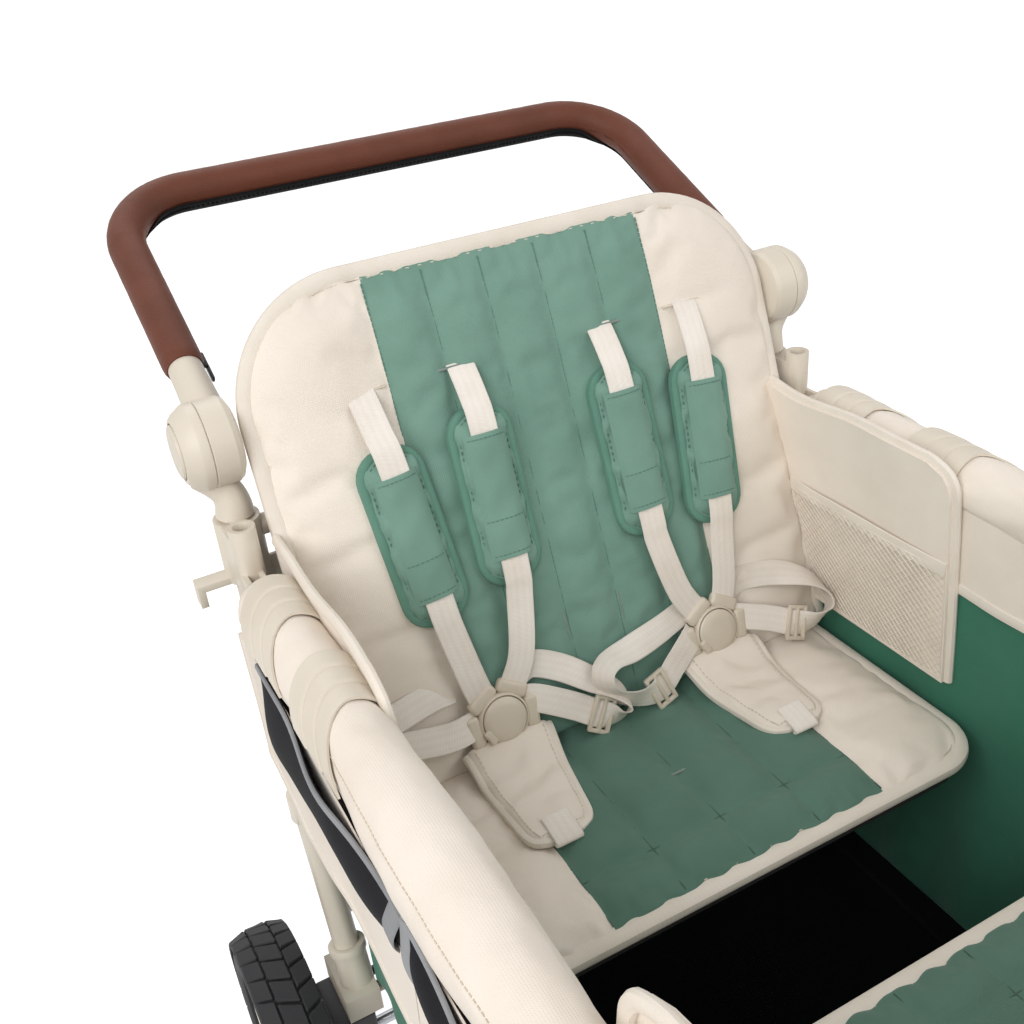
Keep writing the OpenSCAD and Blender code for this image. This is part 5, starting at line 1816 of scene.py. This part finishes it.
@dataclass(frozen=True)
class PushHandle:
    """The push handle: leather grip with its zip, hubs and buttons."""

    layout: Layout
    x: float = 267.85
    reach: float = 310.0
    bend: float = 70.0
    tilt: float = 24.8
    grip_start: float = 84.0
    grip_r: float = 17.0
    zip_turn: float = -27.0
    zip_w: float = 16.0

    def place(self) -> Matrix:
        """The handle's own plane: x across, y along its arms, z out of it."""
        lay = self.layout
        return lay.matrix(End.REAR) @ Matrix.Translation((0, lay.hub_y, lay.hub_z)) @ Matrix.Rotation(
            math.radians(self.tilt), 4, "X")

    def path(self, start: float) -> Run:
        """The handle's line from the left arm round to the right one.

        Args:
            start: Distance of its ends from the hubs.

        Returns:
            The run.
        """
        r, x, top = self.bend, self.x, self.reach
        arm = [(-x, start + (top - r - start) * k / 8) for k in range(8)]
        turns = [k * math.pi / 24 for k in range(13)]
        bend = [(-x + r - r * math.cos(t), top - r + r * math.sin(t)) for t in turns]
        left = arm + bend + [((-x + r) * (1 - k / 10), top) for k in range(1, 10)]
        points = left + [(0.0, top)] + [(-a, b) for a, b in reversed(left)]
        return Run.through(((a, b, 0), (0, 0, 1)) for a, b in points)

    def zip_way(self, at: Matrix, share: float) -> Vector:
        """The way the zip faces: under the bar, and turned to the back along the arms.

        Args:
            at: The place on the handle's line.
            share: That place as a share of the line.

        Returns:
            The direction out of the grip.
        """
        arm = min(1.0, max(0.0, (0.27 - min(share, 1 - share)) / 0.1))
        off = math.radians(self.zip_turn - 58.0 * arm * arm * (3 - 2 * arm))
        return at.to_3x3() @ Vector((math.cos(off), 0, math.sin(off)))

    def build(self) -> None:
        """Builds the grip, the zip and the hubs."""
        place = self.place()
        line = self.path(self.grip_start)

        def swell(along: float, turn: float) -> float:
            """The grip's fullness, with soft creases at its bends and turned-in ends."""
            end = min(along, 1 - along)
            turned_in = 0.1 * math.exp(-((end / 0.003) ** 2))
            crease = 0.012 * noise.noise(Vector((along * 160.0, turn * 5.0, 0.0)))
            return 1.0 - turned_in + crease

        bm = tube(line, oval(2 * self.grip_r, 2 * self.grip_r, 32), 260, swell)
        place_piece(
            "handle_grip_leather", bm, place, (LEATHER,), "push_handle", "leather", ("handle_grip",), sharp=60
        )
        strip, teeth = [], []
        for k in range(121):
            at = line.at(k / 120)
            way = self.zip_way(at, k / 120)
            strip.append((at.translation + way * (self.grip_r + 0.2), way))
            teeth.append((at.translation + way * (self.grip_r + 1.3), way))
        tape = tube(Run.through(strip), oval(self.zip_w, 2.4, 10, 3), 240)
        absorb(tape, stitches(Run.through(teeth), 3.4, 2.0, 2.6))
        tab = line.at(0.012)
        way = self.zip_way(tab, 0.5)
        pull = Matrix.Translation(tab.translation + way * (self.grip_r + 4.0)) @ tab.to_3x3().to_4x4()
        absorb(tape, block((5.0, 17.0, 4.0), pull, 1.5), finish=1)
        absorb(tape, block((3.0, 18.0, 6.0), pull @ Matrix.Translation((1.5, -13.0, -3.0)), 1.3), finish=1)
        place_piece("handle_zip", tape, place, (ZIP_TAPE, BLACK_PLASTIC), "push_handle")
        for side in Side:
            self.hub(side)

    def hub(self, side: Side) -> None:
        """Builds one hub: the housing on the post, the handle's half and the button.

        Args:
            side: The side of the wagon.
        """
        lay = self.layout
        place = lay.matrix(End.REAR, side)
        axis = Matrix.Translation((lay.hub_seam, lay.hub_y, lay.hub_z))
        outer = [
            (0, 0), (0, 34.2), (0.8, 35), (7, 35), (9, 34.2), (16.5, 29.5), (20, 26), (20.2, 23.2),
            (8.4, 22.8), (8.4, 0),
        ]
        housing = lathe(outer, 64)
        housing.transform(axis)
        spine = (
            (270, 400, 738), (270, 400, 748), (272.5, 401.5, 758), (280, 404, 768), (289, 405.6, 777)
        )
        neck = Run.through((p, (0, 1, 0)) for p in spine)

        def taper(along: float, turn: float) -> float:
            """The neck's size along it: a collar on the post, then a waist."""
            return 1.12 - 0.2 * min(1.0, along / 0.6)

        absorb(housing, tube(neck, oval(28, 28, 28), 24, taper))
        place_piece(
            f"hub_housing_{side.word}", housing, place, (CREAM_PLASTIC,), "rear_frame", "cream_plastic",
            ("hub_housings",), sharp=28,
        )
        dome = [
            (-0.3, 0), (-0.3, 34), (-1.2, 35), (-19, 35), (-23, 32.5), (-25.7, 27), (-25.7, 15), (-24, 14),
            (-24, 0),
        ]
        inner = lathe(dome, 64)
        inner.transform(axis)
        hub = Matrix.Translation((0, lay.hub_y, lay.hub_z))
        turned = hub @ Matrix.Rotation(math.radians(self.tilt), 4, "X")
        collar = Run.through((turned @ Vector((self.x, s, 0)), (1, 0, 0)) for s in (24, 44, 64, 88))
        absorb(inner, tube(collar, oval(30, 30, 28), 12, lambda along, turn: 1.06 - 0.12 * along))
        place_piece(f"handle_hub_{side.word}", inner, place, (CREAM_PLASTIC,), "push_handle", "cream_plastic",
                    ("handle_hubs",), sharp=28)
        button = lathe([(12.2, 0), (12.2, 21.8), (20.5, 21.8), (22.2, 20.6), (23, 18), (23.2, 0)], 48)
        button.transform(axis)
        body = f"hub_button_{side.word}"
        place_piece(f"{body}_cap", button, place, (CREAM_PLASTIC,), body, "cream_plastic", (body,), sharp=28)


@dataclass(frozen=True)
class Wheel:
    """The treaded tyre of one wheel."""

    layout: Layout
    end: End
    side: Side
    x: float
    y: float
    radius: float
    width: float
    inner: float
    blocks: int
    tread_h: float = 6.0
    tread_fill: float = 0.87
    shoulder: float = 6.0

    def build(self) -> None:
        """Builds the tyre with its three rows of tread blocks."""
        word = f"{self.end.word}_tyre_{self.side.word}"
        body = f"{self.end.word}_wheel_{self.side.word}"
        half, r, low = self.width / 2, self.radius, self.radius - 4.0
        profile = [
            (-half + 3, self.inner), (-half + 0.5, self.inner + 5), (-half, self.inner + 14),
            (-half + 1, low - 14), (-half + 5, low - 6), (-half + 12, low - 1), (-half + 18, low),
        ]
        profile = profile + [(-a, b) for a, b in reversed(profile)] + [profile[0]]
        bm = lathe(profile, 72)
        tread = bmesh.new()
        pitch = 2 * math.pi * r / self.blocks
        rows = ((0.0, 0.36, 0.45, 0.0), (-0.35, 0.3, -0.5, 0.5), (0.35, 0.3, 0.5, 0.5))
        for across, wide, slant, lag in rows:
            size = (self.width * wide, pitch * self.tread_fill, self.tread_h)
            made = block(size, Matrix(), 1.2, 1)
            for vert in made.verts:
                vert.co.y += vert.co.x * slant
                fall = (abs(vert.co.x + across * self.width) / half) ** 4 * self.shoulder
                vert.co.z += r - self.tread_h / 2 - fall
                vert.co.x += across * self.width
            made.transform(Matrix.Rotation(lag * pitch / r, 4, "X"))
            bmesh.ops.spin(
                made, geom=list(made.verts) + list(made.edges) + list(made.faces), axis=(1, 0, 0),
                cent=(0, 0, 0), angle=2 * math.pi * (self.blocks - 1) / self.blocks,
                steps=self.blocks - 1, use_duplicate=True,
            )
            absorb(tread, made)
        absorb(bm, tread)
        bm.transform(Matrix.Translation((self.x, self.y, self.radius)))
        place = self.layout.matrix(self.end, self.side)
        place_piece(f"{word}_treaded", bm, place, (RUBBER,), body, "tyre", (word,), 35)


@dataclass(frozen=True)
class Hardware:
    """The wagon's hard pieces that keep the solids' shape, with their edges rounded."""

    names: tuple[tuple[str, Finish, str, float], ...] = (
        ("rear_frame", FRAME_PAINT, "frame_paint", 0.8),
        ("front_frame", FRAME_PAINT, "frame_paint", 0.8),
        ("rear_top_brackets", CREAM_PLASTIC, "cream_plastic", 1.6),
        ("front_top_brackets", CREAM_PLASTIC, "cream_plastic", 1.6),
        ("rear_lower_brackets", CREAM_PLASTIC, "cream_plastic", 2.0),
        ("front_lower_brackets", CREAM_PLASTIC, "cream_plastic", 2.0),
        ("rear_axle_boxes", BLACK_PLASTIC, "black_plastic", 3.0),
        ("rear_axle", STEEL, "steel", 0.5),
        ("handle_tube", FRAME_PAINT, "frame_paint", 0.4),
        ("rear_rim_left", RIM_PLASTIC, "rim", 1.2),
        ("rear_rim_right", RIM_PLASTIC, "rim", 1.2),
        ("front_rim_left", RIM_PLASTIC, "rim", 1.2),
        ("front_rim_right", RIM_PLASTIC, "rim", 1.2),
        ("brake_pedal", BLACK_PLASTIC, "black_plastic", 1.5),
        ("rear_back_board", BOARD, "board", 1.2),
        ("front_back_board", BOARD, "board", 1.2),
        ("rear_seat_board", BOARD, "board", 1.0),
        ("front_seat_board", BOARD, "board", 1.0),
        ("rear_floor_board", BOARD, "board", 1.0),
        ("front_floor_board", BOARD, "board", 1.0),
        ("rail_tubes_rear", FRAME_PAINT, "frame_paint", 0.5),
        ("rail_tubes_front", FRAME_PAINT, "frame_paint", 0.5),
        ("caster_fork_left", BLACK_PLASTIC, "black_plastic", 1.5),
        ("caster_fork_right", BLACK_PLASTIC, "black_plastic", 1.5),
        ("pull_handle", BLACK_PLASTIC, "black_plastic", 1.0),
    )

    def build(self) -> None:
        """Builds a rounded copy of each."""
        for name, finish, slot, width in self.names:
            self.rounded(name, finish, slot, width)

    @staticmethod
    def round_corners(bm: bmesh.types.BMesh, end: End, radius: float = 42.0) -> None:
        """Rounds the free corners of a seat board so that they follow its pad.

        Args:
            bm: The board.
            end: The end that it is on.
            radius: Radius of the corners.
        """
        bmesh.ops.dissolve_limit(bm, angle_limit=0.02, verts=bm.verts, edges=bm.edges)
        edge = min(v.co.y * end.value for v in bm.verts)
        free = [
            e
            for e in bm.edges
            if all(v.co.y * end.value < edge + MM for v in e.verts)
            and abs(e.verts[0].co.x - e.verts[1].co.x) < MM
            and abs(e.verts[0].co.z - e.verts[1].co.z) > MM
        ]
        bmesh.ops.bevel(
            bm, geom=free, offset=radius * MM, segments=8, profile=0.5, affect="EDGES", material=-1
        )

    def rounded(self, node: str, finish: Finish, slot: str, width: float) -> None:
        """Copies a node, merges it and rounds its sharp edges.

        Args:
            node: The node.
            finish: Its finish.
            slot: The name of its material slot, passed on to place_piece, which does not use it.
            width: Width of the rounding, in millimetres.
        """
        bm = bmesh.new()
        bm.from_mesh(frame["nodes"][node].data)
        bmesh.ops.remove_doubles(bm, verts=bm.verts, dist=0.00002)
        if "seat_board" in node:
            self.round_corners(bm, End.REAR if node.startswith(End.REAR.word) else End.FRONT)
        sharp = [e for e in bm.edges if len(e.link_faces) == 2 and e.calc_face_angle(0.0) > math.radians(38)]
        bmesh.ops.bevel(
            bm, geom=sharp, offset=width * MM, segments=2, profile=0.5, affect="EDGES", material=-1,
            clamp_overlap=True,
        )
        body = frame["nodes"][node]["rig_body"]
        place_piece(f"{node}_rounded", bm, Matrix(), (finish,), body, slot, (node,), sharp=35)


@dataclass(frozen=True)
class FloorMat:
    """The mat on one floor board."""

    layout: Layout
    end: End
    half: float = 240.0
    start: float = 14.0
    stop: float = 322.0
    top: float = 229.0

    def edge_fold(self, u: float, v: float) -> Vector:
        """A point of the dark edge that turns up from the mat to the side wall."""
        t = (u + 1) / 2
        y = self.start + (self.stop - self.start) * (v + 1) / 2
        return Vector((self.half - 3.0 + 12.5 * t, y, self.top + 3.0 + 22.0 * t**1.6))

    def build(self) -> None:
        """Builds the mat with its bound edge and the edges that turn up to the side walls."""

        def lie(u: float, v: float) -> Vector:
            """The mat's point for a share across and along."""
            y = self.start + (self.stop - self.start) * (v + 1) / 2
            lift = 0.8 * noise.noise(Vector((u * 5, v * 4, 0.4)))
            return Vector((u * self.half, y, self.top + 3.2 + lift))

        place = self.layout.matrix(self.end)
        body = f"{self.end.word}_floor"
        sheet = thicken(grid(40, 26, lie, 2 * self.half, self.stop - self.start), 2.4)
        mat = place_piece(f"{self.end.word}_floor_mat", sheet, place, (MAT_CLOTH,), body)
        line = [(lie(-1, -1 + k / 10), (0, 0, 1)) for k in range(21)]
        line += [(lie(-1 + k / 10, 1), (0, 0, 1)) for k in range(1, 21)]
        line += [(lie(1, 1 - k / 10), (0, 0, 1)) for k in range(1, 21)]
        for side in Side:
            gusset = thicken(grid(6, 26, self.edge_fold, 26, self.stop - self.start), 1.6)
            strip = place_piece(
                f"{self.end.word}_floor_edge_{side.word}", gusset, self.layout.matrix(self.end, side),
                (MAT_CLOTH,), body,
            )
        edge = tube(Run.through(line), oval(10, 4.4, 10, 3), 120)
        place_piece(f"{self.end.word}_floor_binding", edge, place, (BLACK_CLOTH,), body)


@dataclass(frozen=True)
class Studio:
    """The camera, the lights and the pale floor."""

    camera: tuple[float, float, float] = (-0.4119, -0.54303, 1.1714)
    ahead: tuple[float, float, float] = (0.37196, 0.78381, -0.49727)
    upward: tuple[float, float, float] = (0.30055, 0.40516, 0.86343)
    lens: float = 39.64
    ground: str = "#B9B8B6"

    def build(self) -> None:
        """Sets up the camera, lights, world and floor."""
        scene = bpy.context.scene
        scene.view_settings.view_transform = "Standard"
        eye = bpy.data.objects.new("camera", bpy.data.cameras.new("camera"))
        eye.data.lens, eye.data.sensor_width, eye.data.clip_end = self.lens, 36.0, 100.0
        ahead = Vector(self.ahead).normalized()
        across = ahead.cross(Vector(self.upward)).normalized()
        turned = Matrix((across, across.cross(ahead), -ahead)).transposed().to_4x4()
        eye.matrix_world = Matrix.Translation(self.camera) @ turned
        scene.collection.objects.link(eye)
        scene.camera = eye
        for name, spot, power, size in (
            ("key", (-2.4, -1.6, 2.4), 88.0, 2.8),
            ("fill", (2.2, -1.8, 2.2), 30.0, 2.4),
            ("back", (0.2, 2.2, 3.0), 22.0, 2.4),
        ):
            lamp = bpy.data.objects.new(name, bpy.data.lights.new(name, "AREA"))
            lamp.data.energy, lamp.data.size = power, size
            lamp.location = spot
            lamp.rotation_euler = (Vector((0, 0, 0.45)) - Vector(spot)).to_track_quat("-Z", "Y").to_euler()
            scene.collection.objects.link(lamp)
        self.sky(scene)
        self.floor(scene)

    @staticmethod
    def looked_at(tree: bpy.types.NodeTree) -> bpy.types.NodeSocket:
        """Tells the rays that show in the picture from those that only light the wagon.

        Args:
            tree: The node tree of the sky or the floor.

        Returns:
            1 for a ray from the camera, a reflection or a view through something clear, else 0.
        """
        path = add_node(tree, "ShaderNodeLightPath")
        share = path.outputs["Is Camera Ray"]
        for name in ("Is Glossy Ray", "Is Transmission Ray"):
            pair = {0: share, 1: path.outputs[name]}
            either = add_node(tree, "ShaderNodeMath", {"operation": "MAXIMUM"}, pair)
            share = either.outputs[0]
        return share

    def sky(self, scene: bpy.types.Scene) -> None:
        """Makes an even sky that is white to the camera.

        Args:
            scene: The scene.
        """
        world = bpy.data.worlds.new("studio")
        world.use_nodes = True
        scene.world = world
        tree = world.node_tree
        shade = next(n for n in tree.nodes if n.type == "BACKGROUND")
        strength = add_node(
            tree, "ShaderNodeMapRange", {"To Min": 0.46, "To Max": 1.0}, {"Value": self.looked_at(tree)}
        )
        shade.inputs["Color"].default_value = (1, 1, 1, 1)
        tree.links.new(strength.outputs[0], shade.inputs["Strength"])

    def floor(self, scene: bpy.types.Scene) -> None:
        """Makes the pale floor.

        Args:
            scene: The scene.
        """
        bm = bmesh.new()
        bmesh.ops.create_grid(bm, x_segments=1, y_segments=1, size=40)
        mesh = bpy.data.meshes.new("studio_floor")
        bm.to_mesh(mesh)
        bm.free()
        paint = bpy.data.materials.new("studio floor")
        paint.use_nodes = True
        tree = paint.node_tree
        shader = next(n for n in tree.nodes if n.type == "BSDF_PRINCIPLED")
        shader.inputs["Base Color"].default_value = linear(self.ground)
        shader.inputs["Roughness"].default_value = 0.9
        glow = add_node(tree, "ShaderNodeMapRange", {"To Max": 0.8}, {"Value": self.looked_at(tree)})
        shader.inputs["Emission Color"].default_value = (1, 1, 1, 1)
        tree.links.new(glow.outputs[0], shader.inputs["Emission Strength"])
        mesh.materials.append(paint)
        ground = bpy.data.objects.new("studio_floor", mesh)
        scene.collection.objects.link(ground)


def main() -> None:
    """Builds the studio and every sub-assembly."""
    logging.basicConfig(level=logging.INFO, format="%(name)s: %(message)s")
    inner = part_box("rail_covers_rear")[0].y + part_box("rail_covers_front")[1].y
    layout = Layout(mid_y=-inner / 2 / MM)
    Studio().build()
    Hardware().build()
    for end in End:
        Saddles(layout, end).build()
        SideWalls(layout, end).build()
        for side in Side:
            SideFlap(layout, end, side).build()
        EndPanel(layout, end).build()
        BenchPads(layout, end).build()
        Harness(layout, end).build()
        FloorMat(layout, end).build()
    PushHandle(layout).build()
    for side in Side:
        RailCover(layout, side).build()
        Wheel(layout, End.REAR, side, 341.0, 355.0, 140.0, 58.0, 103.6, 34).build()
        Wheel(layout, End.FRONT, side, 306.0, 334.0, 92.0, 45.0, 68.08, 26).build()


if __name__ == "__main__":
    main()
